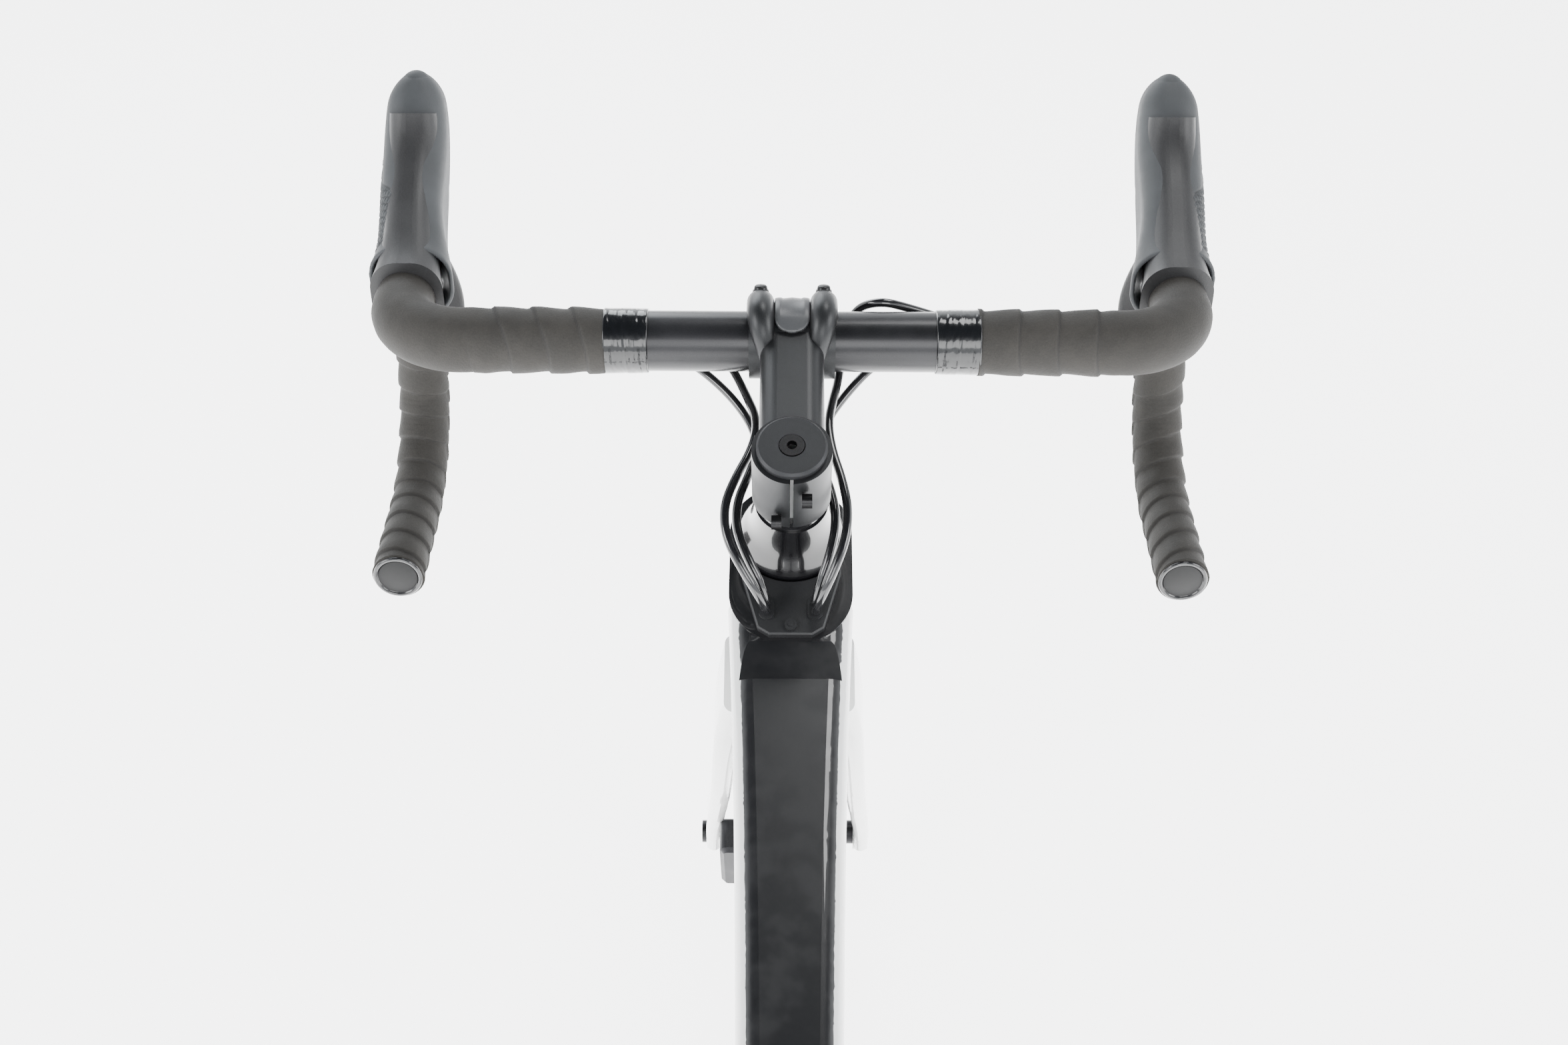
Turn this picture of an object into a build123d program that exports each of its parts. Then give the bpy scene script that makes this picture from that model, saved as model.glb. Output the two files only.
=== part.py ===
"""Road bicycle, size 54, disc brakes, two-by-eleven gears. Millimetres.

+X is the rider's right, +Y is forward and +Z is up. The origin lies on the ground, midway between
the two axles. Lengths along the steering axis are called s, measured up from the top of the head
tube, and lengths square to it are called n, measured forward.
"""

import os
from math import asin, atan2, cos, degrees, hypot, pi, radians, sin, sqrt, tan

from build123d import *

# ---------------------------------------------------------------- driving dimensions
# frame geometry
wheelbase = 1000.0
wheel_radius = 341.0
bb_drop = 80.0
chainstay_length = 420.0
stack = 558.0
reach = 380.0
head_angle = 71.9
seat_angle = 73.7
seat_tube_length = 482.0
head_tube_length = 142.0
top_tube_slope = 12.0
fit_gap = 0.05

# head of the frame, and the fixed cover that the hoses enter behind the steering axis
head_front = 31.0
head_rear = 62.0
head_width = 64.0
head_bottom_width = 54.0
head_bore_radius = 23.0
bearing_height = 7.0
port_cover_thickness = 4.0
port_cover_front = 29.0
port_cover_rear = 60.0
port_cover_width = 52.0
port_cover_end_width = 22.0
port_offset = 12.4
port_rear = 45.5
cover_screw_rear = 55.0
screw_radius = 1.5
port_radius = 3.9
port_spread = 2.6
port_lip = 1.5
hose_radius = 2.4
hose_end_gap = 1.1

# tubes: each width is across the bicycle and each depth is square to the tube
tube_wall = 2.4
top_tube_widths = (65.0, 54.0, 47.0, 40.0)
top_tube_depths = (44.0, 38.0, 34.0, 32.0)
down_tube_widths = (49.0, 57.0, 62.0)
down_tube_depths = (52.0, 50.0, 46.0)
seat_tube_radius = 18.0
seatpost_radius = 13.6
bb_shell_radius = 25.0
bb_shell_width = 86.0
bb_bore_radius = 20.5
rear_spacing = 142.0
front_spacing = 100.0
dropout_thickness = 10.0
axle_radius = 6.0

# fork
steerer_radius = 14.3
steerer_base_radius = 19.0
crown_gap = 1.5
crown_height = 62.0
crown_width = 84.0
tyre_slot_width = 44.0
tyre_clearance = 8.0
tyre_radius = 15.5

# cockpit
cap_top = 86.0
cap_radius = 17.6
cap_thickness = 4.0
stem_height = 40.0
stem_length = 90.0
stem_drop_angle = 7.0
stem_width = 33.0
stem_clamp_radius = 20.0
bar_clamp_outer = 19.6
bar_clamp_width = 45.0
bar_clamp_radius = 15.9
bar_clamp_half = 84.0
taper_length = 13.6
bar_radius = 11.9
bar_half_width = 210.0
bar_flare = 5.7
bar_reach = 80.0
bar_drop = 126.0
bar_tail = 38.0
bare_bar_half = 75.7
finishing_width = 22.0
tape_thickness = 2.6

# wheels
bead_radius = 311.0
rim_outer_radius = 316.5
rim_inner_radius = 287.0
rim_width = 26.0
spokes_per_wheel = 24
spoke_radius = 1.0
flange_radius = 24.0
flange_thickness = 3.2
hub_radius = 11.0
rotor_radius = 80.0
rotor_thickness = 1.8
rotor_inset = 15.0

# drivetrain
pitch = 12.7
roller_radius = 3.9
big_ring_teeth = 52
small_ring_teeth = 36
cog_teeth = (11, 12, 13, 14, 15, 17, 19, 21, 23, 25, 28)
driven_cog = 5
cog_spacing = 3.74
cog_thickness = 1.6
pulley_teeth = 11
chainline = 46.8
ring_spacing = 7.0
ring_thickness = 2.0
crank_length = 172.5
arm_plane = 66.0
arm_thickness = 12.0
spindle_radius = 12.0
guide_distance = 104.0
cage_length = 56.0
cage_angle = 58.0

# ---------------------------------------------------------------- derived positions
rear_axle = Vector(0, -wheelbase / 2, wheel_radius)
front_axle = Vector(0, wheelbase / 2, wheel_radius)
bb = Vector(0, rear_axle.Y + sqrt(chainstay_length**2 - bb_drop**2), wheel_radius - bb_drop)
head_top = Vector(0, bb.Y + reach, bb.Z + stack)
steer_up = Vector(0, -cos(radians(head_angle)), sin(radians(head_angle)))
steer_forward = Vector(0, sin(radians(head_angle)), cos(radians(head_angle)))
seat_up = Vector(0, -cos(radians(seat_angle)), sin(radians(seat_angle)))
seat_forward = Vector(0, sin(radians(seat_angle)), cos(radians(seat_angle)))
axle_drop = -(front_axle - head_top).dot(steer_up)
fork_rake = (front_axle - head_top).dot(steer_forward)
right = Vector(1, 0, 0)
stem_rise = radians(90 - head_angle - stem_drop_angle)
stem_forward = Vector(0, cos(stem_rise), sin(stem_rise))
stem_up = Vector(0, -sin(stem_rise), cos(stem_rise))
stem_centre = cap_top - cap_thickness - stem_height / 2
bottom_middle = (Align.CENTER, Align.CENTER, Align.MIN)


def steer_point(n, s, x=0.0):
    """A point n forward of the steering axis, s above the head tube and x to the right."""
    return head_top + steer_forward * n + steer_up * s + right * x


def steer_plane(s, n=0.0, x=0.0):
    """A plane square to the steering axis: its x is the rider's right, its y is forward."""
    return Plane(origin=steer_point(n, s, x), x_dir=(1, 0, 0), z_dir=steer_up)


def side_plane(p):
    """A plane through p seen from the rider's right: its x is forward and its y is up."""
    return Plane(origin=p, x_dir=(0, 1, 0), z_dir=(1, 0, 0))


def along(p, direction):
    """A plane through p square to a direction in the bicycle's middle plane; its x is right."""
    return Plane(origin=p, x_dir=(1, 0, 0), z_dir=direction)


def between(start, end):
    """A plane at start whose normal points at end."""
    return Plane(origin=start, z_dir=end - start)


def rounded(plane, width, depth, radius):
    """A rounded rectangle on a plane."""
    with BuildSketch(plane) as section:
        RectangleRounded(width, depth, min(radius, width / 2 - 0.1, depth / 2 - 0.1))
    return section.sketch


def disc(plane, radius, hole=0.0):
    """A disc, or a ring where it has a hole."""
    with BuildSketch(plane) as section:
        Circle(radius)
        if hole > 0:
            Circle(hole, mode=Mode.SUBTRACT)
    return section.sketch


def finish(part, label):
    """Name a finished piece and write it."""
    part.label = label
    export_step(part, f"parts/{label}.step")
    print(f"{label}: {len(part.solids())} solids, {part.volume:.0f} mm3")


os.makedirs("parts", exist_ok=True)
seat_top = bb + seat_up * seat_tube_length
bar_centre = steer_point(0, stem_centre) + stem_forward * stem_length
crease = steer_point(-head_rear, 0)
slope = radians(top_tube_slope)
top_tube_back = Vector(0, -cos(slope), -sin(slope))
top_tube_under = Vector(0, sin(slope), -cos(slope))

# ---------------------------------------------------------------- frame: head tube
head_middle = (head_front - head_rear) / 2
head_bottom_front = 29.0
head_bottom_rear = 40.0


def head_sections(inset=0.0):
    """The head tube's outline from top to bottom; inset makes a smaller copy of it."""
    length = head_front + head_rear
    low_length = head_bottom_front + head_bottom_rear
    low_middle = (head_bottom_front - head_bottom_rear) / 2
    steps = (
        (0.0, head_width, length, head_middle),
        (-0.45, (head_width + head_bottom_width) / 2 - 3, (length + low_length) / 2 - 4, -11.0),
        (-1.0, head_bottom_width, low_length, low_middle),
    )
    sections = []
    for share, width, depth, middle in steps:
        plane = steer_plane(share * head_tube_length, middle)
        sections.append(rounded(plane, width - 2 * inset, depth - 2 * inset, width / 2 - inset - 4))
    return sections


with BuildPart() as head_solid:
    loft(sections=head_sections())

with BuildPart() as head_tube:
    add(head_solid.part)
    with Locations(steer_plane(-head_tube_length - 1)):
        Cylinder(head_bore_radius - 2, head_tube_length + 2, align=bottom_middle, mode=Mode.SUBTRACT)
    for seat_s in (-bearing_height, -head_tube_length):
        with Locations(steer_plane(seat_s)):
            Cylinder(head_bore_radius, bearing_height, align=bottom_middle, mode=Mode.SUBTRACT)
    for side in (-1, 1):
        with Locations(steer_plane(-30, -port_rear, side * port_offset)):
            Cylinder(port_spread + hose_radius + 0.4, 62, mode=Mode.SUBTRACT)
    with Locations(steer_plane(-6, -cover_screw_rear)):
        Cylinder(screw_radius + 0.1, 14, mode=Mode.SUBTRACT)
finish(head_tube.part, "head_tube")

# bearings: one at each end of the head tube, a running fit on the steerer's shoulders
with BuildPart() as headset_bearings:
    for seat_s, bore in ((-bearing_height, steerer_radius), (-head_tube_length, steerer_base_radius)):
        extrude(disc(steer_plane(seat_s), head_bore_radius - fit_gap, bore + fit_gap), bearing_height - 0.2)
finish(headset_bearings.part, "headset_bearings")

# ---------------------------------------------------------------- frame: seat tube and shell
with BuildPart() as seat_solid:
    extrude(disc(along(bb, seat_up), seat_tube_radius), seat_tube_length)
    with Locations(side_plane(bb)):
        Cylinder(bb_shell_radius, bb_shell_width)

with BuildPart() as seat_tube:
    add(seat_solid.part)
    with Locations(along(bb + seat_up * (bb_shell_radius + 6), seat_up)):
        Cylinder(
            seatpost_radius + fit_gap, seat_tube_length, align=bottom_middle, mode=Mode.SUBTRACT
        )
    with Locations(side_plane(bb)):
        Cylinder(bb_bore_radius, bb_shell_width + 2, mode=Mode.SUBTRACT)
    for boss in (170.0, 234.0):
        with Locations(Plane(origin=bb + seat_up * boss, z_dir=seat_forward)):
            Cylinder(5.0, seat_tube_radius + 2.5, align=bottom_middle)
            Cylinder(seatpost_radius + fit_gap, 1, mode=Mode.PRIVATE)
    with Locations(along(bb + seat_up * (bb_shell_radius + 6), seat_up)):
        Cylinder(
            seatpost_radius + fit_gap, seat_tube_length, align=bottom_middle, mode=Mode.SUBTRACT
        )
    for boss in (170.0, 234.0):
        with Locations(Plane(origin=bb + seat_up * boss, z_dir=seat_forward)):
            Cylinder(2.5, seat_tube_radius + 4, align=bottom_middle, mode=Mode.SUBTRACT)
finish(seat_tube.part, "seat_tube")

# ---------------------------------------------------------------- frame: top tube
top_tube_span = (crease.Y - (seat_top - seat_up * 14).Y) / cos(slope)
top_tube_start = 26.0


def top_tube_sections(inset=0.0):
    """The top tube's sections from inside the head tube back to the seat tube's axis."""
    distances = (-top_tube_start, 0.22 * top_tube_span, 0.55 * top_tube_span, top_tube_span)
    sections = []
    for distance, width, depth in zip(distances, top_tube_widths, top_tube_depths):
        middle = crease + top_tube_back * distance + top_tube_under * (depth / 2)
        plane = along(middle, top_tube_back)
        sections.append(rounded(plane, width - 2 * inset, depth - 2 * inset, 11 - inset))
    return sections


with BuildPart() as top_tube:
    loft(sections=top_tube_sections())
    loft(sections=top_tube_sections(tube_wall), mode=Mode.SUBTRACT)
    add(head_solid.part, mode=Mode.SUBTRACT)
    add(seat_solid.part, mode=Mode.SUBTRACT)
    with Locations(along(seat_top, seat_up)):
        Cylinder(seat_tube_radius + 1, 60, mode=Mode.SUBTRACT)
    with Locations(steer_plane(0, -head_middle)):
        Box(200, 200, 80, align=bottom_middle, mode=Mode.SUBTRACT)
top_tube_piece = top_tube.part.solids().sort_by(SortBy.VOLUME)[-1]
finish(top_tube_piece, "top_tube")

# ---------------------------------------------------------------- frame: down tube
down_start = steer_point(-12, -head_tube_length + 38)
down_end = bb + Vector(0, 4, 2)
down_dir = (down_end - down_start).normalized()
down_out = Vector(0, down_dir.Z, -down_dir.Y)
down_span = (down_end - down_start).length
boss_places = (0.52, 0.52 + 64.0 / down_span)
crown_room = 48.0
crown_notch = 70.0


def down_tube_sections(inset=0.0):
    """The down tube's sections from the head tube's axis to the bottom bracket's axis."""
    sections = []
    for share, width, depth in zip((0.0, 0.5, 1.0), down_tube_widths, down_tube_depths):
        plane = along(down_start + down_dir * (share * down_span), down_dir)
        sections.append(rounded(plane, width - 2 * inset, depth - 2 * inset, 18 - inset))
    return sections


with BuildPart() as down_tube:
    loft(sections=down_tube_sections())
    loft(sections=down_tube_sections(tube_wall), mode=Mode.SUBTRACT)
    for share in boss_places:
        boss_plane = Plane(origin=down_start + down_dir * (share * down_span), z_dir=down_out)
        with Locations(boss_plane.offset(down_tube_depths[1] / 2 - 8)):
            Cylinder(5.0, 10.0, align=bottom_middle)
            Cylinder(2.5, 12.0, align=bottom_middle, mode=Mode.SUBTRACT)
    add(head_solid.part, mode=Mode.SUBTRACT)
    add(seat_solid.part, mode=Mode.SUBTRACT)
    with Locations(steer_plane(-head_tube_length - crown_notch)):
        Box(200, 2 * crown_room, crown_notch, align=bottom_middle, mode=Mode.SUBTRACT)
down_tube_piece = down_tube.part.solids().sort_by(SortBy.VOLUME)[-1]
finish(down_tube_piece, "down_tube")

# ---------------------------------------------------------------- frame: rear stays and dropouts
def bar(points, widths, depths, radius=6.0):
    """Rounded sections along points, each square to the way the bar runs there."""
    sections = []
    last = len(points) - 1
    for index, point in enumerate(points):
        heading = points[min(index + 1, last)] - points[max(index - 1, 0)]
        sideways = right - heading * (heading.X / heading.dot(heading))
        plane = Plane(origin=point, x_dir=sideways, z_dir=heading)
        sections.append(rounded(plane, widths[index], depths[index], radius))
    return sections


dropout_x = rear_spacing / 2 + dropout_thickness / 2
with BuildPart() as rear_stays:
    for side in (-1, 1):
        chainstay_points = (
            bb + Vector(side * 28.5, -16, 0),
            bb + Vector(side * 33, -100, 9),
            rear_axle + Vector(side * 62, 130, -22),
            rear_axle + Vector(side * (dropout_x + 1), 62, -9),
            rear_axle + Vector(side * dropout_x, 6, 0),
        )
        seatstay_points = (
            seat_top + seat_up * -60 + Vector(side * 13, -10, 0),
            rear_axle + Vector(side * 36, 178, 228),
            rear_axle + Vector(side * 56, 108, 140),
            rear_axle + Vector(side * (dropout_x + 1), 46, 62),
            rear_axle + Vector(side * dropout_x, 4, 8),
        )
        loft(sections=bar(chainstay_points, (14, 13, 15, 11, 10), (38, 31, 27, 25, 25)))
        loft(sections=bar(seatstay_points, (15, 13, 13, 10, 10), (20, 18, 18, 18, 20)))
        with Locations(side_plane(rear_axle + right * side * dropout_x)):
            Cylinder(15, dropout_thickness)
    with Locations(side_plane(rear_axle)):
        Cylinder(wheel_radius + tyre_clearance, 2 * (tyre_radius + tyre_clearance), mode=Mode.SUBTRACT)
        Cylinder(60, rear_spacing, mode=Mode.SUBTRACT)
        Cylinder(axle_radius + fit_gap, rear_spacing + 60, mode=Mode.SUBTRACT)
    hanger = rear_axle + Vector(dropout_x + 0.5, -10, -26)
    with BuildSketch(side_plane(hanger - right * 4)):
        SlotCenterPoint((5, 13), (0, 0), 20)
    extrude(amount=8)
    with Locations(side_plane(hanger)):
        Cylinder(4.0 + fit_gap, 30, mode=Mode.SUBTRACT)
    with Locations(side_plane(rear_axle)):
        Cylinder(axle_radius + fit_gap, rear_spacing + 60, mode=Mode.SUBTRACT)
    add(seat_solid.part, mode=Mode.SUBTRACT)
finish(rear_stays.part, "rear_stays")

with BuildPart() as rear_thru_axle:
    with Locations(side_plane(rear_axle - right * (rear_spacing / 2 + dropout_thickness + 1))):
        Cylinder(axle_radius, rear_spacing + 2 * dropout_thickness - 1, align=bottom_middle)
    with Locations(side_plane(rear_axle - right * (rear_spacing / 2 + dropout_thickness + 4))):
        Cylinder(8.5, 3, align=bottom_middle)
        Cylinder(3.2, 6, align=(Align.CENTER, Align.CENTER, Align.CENTER), mode=Mode.SUBTRACT)
finish(rear_thru_axle.part, "rear_thru_axle")

# bottom bracket cups, one pressed in each side, with the spindle's running fit
with BuildPart() as bottom_bracket_cups:
    for side in (-1, 1):
        face = bb + right * side * bb_shell_width / 2
        inward = Plane(origin=face, z_dir=(-side, 0, 0))
        extrude(disc(inward, bb_bore_radius - fit_gap, spindle_radius + fit_gap), 16)
        extrude(disc(inward, bb_shell_radius - 1, spindle_radius + fit_gap), -3)
finish(bottom_bracket_cups.part, "bottom_bracket_cups")

# ---------------------------------------------------------------- frame: cable port cover
with BuildPart() as cable_port_cover:
    with BuildSketch(steer_plane(0.05)):
        with BuildLine():
            Polyline(
                (-port_cover_width / 2, -8),
                (port_cover_width / 2, -8),
                (port_cover_width / 2, -24),
                (port_cover_end_width / 2 + 6, -port_cover_rear + 4),
                (port_cover_end_width / 2, -port_cover_rear),
                (-port_cover_end_width / 2, -port_cover_rear),
                (-port_cover_end_width / 2 - 6, -port_cover_rear + 4),
                (-port_cover_width / 2, -24),
                close=True,
            )
        make_face()
        Circle(port_cover_front, mode=Mode.SUBTRACT)
    extrude(amount=port_cover_thickness)
    chamfer(cable_port_cover.faces().sort_by(Axis(head_top, steer_up))[-1].edges(), 0.8)
    for side in (-1, 1):
        with BuildSketch(steer_plane(0.05, -port_rear, side * port_offset)):
            SlotCenterToCenter(2 * port_spread, 2 * port_radius, rotation=90)
        extrude(amount=port_cover_thickness + port_lip)
    with Locations(steer_plane(0.05, -cover_screw_rear)):
        Cylinder(screw_radius + 0.2, 20, mode=Mode.SUBTRACT)
        Cylinder(screw_radius, 12)
    with Locations(steer_plane(port_cover_thickness + 0.1, -cover_screw_rear)):
        Cylinder(3.2, 1.6, align=bottom_middle)
finish(cable_port_cover.part, "cable_port_cover")

# ---------------------------------------------------------------- fork
crown_top = -head_tube_length - crown_gap
blade_x = front_spacing / 2 + 6.0


def blade_points(side):
    """Middle of one fork blade from the crown down to the axle."""
    return (
        steer_point(2, crown_top - 18, side * 29),
        steer_point(6, crown_top - 70, side * 37),
        steer_point(18, crown_top - 190, side * 45),
        steer_point(36, -axle_drop + 70, side * 53),
        steer_point(fork_rake - 4, -axle_drop + 2, side * blade_x),
    )


with BuildPart() as fork:
    loft(
        sections=[
            rounded(steer_plane(crown_top), head_bottom_width, 68, 26),
            rounded(steer_plane(crown_top - 26), 66, 58, 24),
            rounded(steer_plane(crown_top - crown_height), crown_width, 46, 18),
        ]
    )
    for side in (-1, 1):
        loft(sections=bar(blade_points(side), (20, 17, 14, 12, 11), (50, 44, 36, 28, 24)))
        with Locations(side_plane(front_axle + right * side * (front_spacing / 2 + 5.5))):
            Cylinder(13, 11)
    with Locations(steer_plane(crown_top)):
        Cylinder(steerer_base_radius, 9, align=bottom_middle)
        Cylinder(steerer_radius, cap_top - cap_thickness - 2 - crown_top, align=bottom_middle)
    with Locations(side_plane(front_axle)):
        Cylinder(wheel_radius + tyre_clearance, tyre_slot_width, mode=Mode.SUBTRACT)
        Cylinder(40, front_spacing, mode=Mode.SUBTRACT)
        Cylinder(axle_radius + fit_gap, front_spacing + 60, mode=Mode.SUBTRACT)
    with Locations(steer_plane(-60)):
        Cylinder(steerer_radius - 2.5, cap_top + 59, align=bottom_middle, mode=Mode.SUBTRACT)
finish(fork.part, "fork")

with BuildPart() as front_thru_axle:
    with Locations(side_plane(front_axle - right * (front_spacing / 2 + 12.5))):
        Cylinder(axle_radius, front_spacing + 22, align=bottom_middle)
    with Locations(side_plane(front_axle - right * (front_spacing / 2 + 15))):
        Cylinder(8.5, 3, align=bottom_middle)
        Cylinder(3.2, 6, mode=Mode.SUBTRACT)
finish(front_thru_axle.part, "front_thru_axle")

# headset cover and spacers: a flared cover that turns just above the head tube
cover_top = 34.0
spacer_radius = 17.6
with BuildPart() as headset_cover:
    with BuildSketch(Plane(origin=head_top, x_dir=(1, 0, 0), z_dir=-steer_forward)):
        with BuildLine():
            Polyline(
                (steerer_radius + fit_gap, 0.5),
                (port_cover_front - 1.0, 0.5),
                (port_cover_front - 1.0, 3.0),
            )
            Spline(
                (port_cover_front - 1.0, 3.0),
                (22.5, 15.0),
                (spacer_radius + 1.0, cover_top),
                tangents=((-0.3, 1), (-0.12, 1)),
            )
            Polyline(
                (spacer_radius + 1.0, cover_top),
                (steerer_radius + fit_gap, cover_top),
                (steerer_radius + fit_gap, 0.5),
            )
        make_face()
    revolve(axis=Axis(head_top, steer_up))

spacer_bottom = cover_top + 0.1
spacer_top = stem_centre - stem_height / 2 - 0.1
with BuildPart() as headset_spacers:
    thickness = (spacer_top - spacer_bottom - 0.2) / 2
    for level in (spacer_bottom, spacer_bottom + thickness + 0.2):
        extrude(disc(steer_plane(level), spacer_radius, steerer_radius + fit_gap), thickness)
finish(Compound(headset_cover.part.solids() + headset_spacers.part.solids()), "headset_cover")

with BuildPart() as top_cap:
    with Locations(steer_plane(cap_top - cap_thickness + 0.1)):
        Cylinder(cap_radius, cap_thickness - 0.1, align=bottom_middle)
    chamfer(top_cap.edges().sort_by(Axis(head_top, steer_up))[-1], 1.2)
    with Locations(steer_plane(cap_top - 1.6)):
        Cylinder(6.6, 4, align=bottom_middle, mode=Mode.SUBTRACT)
    with Locations(steer_plane(cap_top)):
        Cylinder(3.2, 30, mode=Mode.SUBTRACT)

# the expander grips inside the steerer, and the cap's bolt pulls on it
with BuildPart() as steerer_expander:
    with Locations(steer_plane(30)):
        Cylinder(steerer_radius - 2.5 - fit_gap, 32, align=bottom_middle)
        Cylinder(2.6, 40, align=bottom_middle, mode=Mode.SUBTRACT)
finish(Compound(top_cap.part.solids() + steerer_expander.part.solids()), "top_cap")

# ---------------------------------------------------------------- stem
with BuildPart() as stem_solid:
    with Locations(steer_plane(stem_centre - stem_height / 2)):
        Cylinder(stem_clamp_radius, stem_height, align=bottom_middle)
    with BuildSketch(Plane(origin=steer_point(0, stem_centre), x_dir=(1, 0, 0), z_dir=stem_forward)):
        RectangleRounded(stem_width, stem_height - 6, 9)
    extrude(amount=stem_length)
    with Locations(side_plane(bar_centre)):
        Cylinder(bar_clamp_outer, bar_clamp_width)

face_plane = Plane(origin=bar_centre, x_dir=(1, 0, 0), z_dir=stem_forward)
with BuildPart() as stem:
    add(stem_solid.part)
    with Locations(side_plane(bar_centre)):
        Cylinder(bar_clamp_radius + fit_gap, 100, mode=Mode.SUBTRACT)
    split(bisect_by=face_plane, keep=Keep.BOTTOM)
    with Locations(steer_plane(stem_centre)):
        Cylinder(steerer_radius + fit_gap, stem_height + 2, mode=Mode.SUBTRACT)
    with Locations(steer_plane(stem_centre, -stem_clamp_radius - 2)):
        Box(1.6, 16, stem_height + 2, mode=Mode.SUBTRACT)
finish(stem.part, "stem")

bolt_x = bar_clamp_width / 2 - 6
bolt_height = bar_clamp_outer + 0.6
with BuildPart() as stem_bolts:
    for bolt_side in (-1, 1):
        for level in (-1, 1):
            start = bar_centre + right * bolt_side * bolt_x + stem_up * level * bolt_height
            with Locations(Plane(origin=start + stem_forward * 8.2, z_dir=stem_forward)):
                Cylinder(4.2, 4, align=bottom_middle)
                Cylinder(2.0, 8, mode=Mode.SUBTRACT)
    for bolt_side, level in ((1, 10), (-1, -10)):
        start = steer_point(-stem_clamp_radius - 3.2, stem_centre + level, bolt_side * 5)
        with Locations(Plane(origin=start, z_dir=(bolt_side, 0, 0))):
            Cylinder(3.6, 5, align=bottom_middle)
            Cylinder(1.9, 12, mode=Mode.SUBTRACT)
    with Locations(steer_plane(cap_top - 1.5)):
        Cylinder(6.2, 1.9, align=bottom_middle)
        Cylinder(2.5, 8, mode=Mode.SUBTRACT)
finish(stem_bolts.part, "stem_bolts")

with BuildPart() as stem_faceplate:
    with Locations(side_plane(bar_centre)):
        Cylinder(bar_clamp_outer, bar_clamp_width)
    with Locations(face_plane.offset(4)):
        Box(bar_clamp_width, 2 * bar_clamp_outer + 8, 8)
    with Locations(side_plane(bar_centre)):
        Cylinder(bar_clamp_radius + fit_gap, 100, mode=Mode.SUBTRACT)
    split(bisect_by=face_plane.offset(0.8), keep=Keep.TOP)
    add(stem_bolts.part, mode=Mode.SUBTRACT)
finish(stem_faceplate.part, "stem_faceplate")

# ---------------------------------------------------------------- handlebar, tape and plugs
bar_corner_radius = 36.0
bar_shoulder_radius = 38.0
bar_bend_radius = 58.0
bar_pitch = 4.0
bar_forward = Vector(0, cos(radians(bar_pitch)), -sin(radians(bar_pitch)))
bar_down = Vector(0, -sin(radians(bar_pitch)), -cos(radians(bar_pitch)))


def bar_point(x, forward, down):
    """A point of the handlebar, from the middle of its clamp."""
    return bar_centre + right * x + bar_forward * forward + bar_down * down


def bar_route(side, start=0.0):
    """The corners of one half of the handlebar's middle line."""
    drop_x = bar_half_width + bar_flare
    return (
        bar_point(side * start, 0, 0),
        bar_point(side * bar_half_width, 0, 0),
        bar_point(side * (bar_half_width + 1), bar_reach, 2),
        bar_point(side * drop_x, bar_reach - 4, bar_drop),
        bar_point(side * drop_x, -bar_tail, bar_drop + 2),
    )


bar_radii = (bar_corner_radius, bar_shoulder_radius, bar_bend_radius)


def bar_tube(side, start, outer, inner):
    """A round tube along one half of the handlebar."""
    with BuildLine() as route:
        FilletPolyline(*bar_route(side, start), radius=bar_radii)
    with BuildPart() as tube:
        sweep(sections=disc(Plane(origin=route.wire() @ 0, z_dir=route.wire() % 0), outer), path=route.wire())
        if inner > 0:
            sweep(
                sections=disc(Plane(origin=route.wire() @ 0, z_dir=route.wire() % 0), inner),
                path=route.wire(),
                mode=Mode.SUBTRACT,
            )
    return tube.part


with BuildPart() as handlebar:
    for side in (-1, 1):
        add(bar_tube(side, 0.0, bar_radius, 0))
    with Locations(side_plane(bar_centre)):
        Cylinder(bar_clamp_radius, 2 * bar_clamp_half)
    for side in (-1, 1):
        taper = bar_centre + right * side * bar_clamp_half
        with Locations(Plane(origin=taper, z_dir=(side, 0, 0))):
            Cone(bar_clamp_radius, bar_radius, taper_length, align=bottom_middle)
finish(handlebar.part, "handlebar")

tape_outer = bar_radius + tape_thickness
tape_start = bare_bar_half + finishing_width + 0.1
wide_bar = bar_clamp_radius + fit_gap
with BuildPart() as bar_tape:
    for side in (-1, 1):
        add(bar_tube(side, tape_start, tape_outer, bar_radius + fit_gap))
finish(bar_tape.part, "bar_tape")

hose_starts = {
    "right_outer": (18.6, 4.0),
    "right_inner": (13.0, -13.8),
    "left_outer": (18.9, 0.0),
    "left_inner": (10.5, -15.8),
}
with BuildPart() as finishing_tape:
    for side in (-1, 1):
        ring = Plane(
            origin=bar_centre + right * side * bare_bar_half, x_dir=(0, side, 0), z_dir=(side, 0, 0)
        )
        with BuildSketch(ring):
            Circle(wide_bar + 1.0)
            for hose_name, (forward, up) in hose_starts.items():
                if (side > 0) == ("right" in hose_name):
                    with Locations((side * forward, up)):
                        Circle(hose_radius + 1.2)
        extrude(amount=finishing_width)
        with Locations(ring):
            Cylinder(wide_bar, 60, mode=Mode.SUBTRACT)
finish(finishing_tape.part, "finishing_tape")

with BuildPart() as bar_end_plugs:
    for side in (-1, 1):
        end = bar_route(side)[-1]
        outward = (end - bar_route(side)[-2]).normalized()
        with Locations(Plane(origin=end + outward * 0.05, z_dir=outward)):
            Cylinder(12.2, 3.2, align=bottom_middle)
    chamfer(bar_end_plugs.edges().filter_by(GeomType.CIRCLE), 0.8)
finish(bar_end_plugs.part, "bar_end_plugs")

# ---------------------------------------------------------------- brake and shift levers
hood_skin = 2.6


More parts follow.
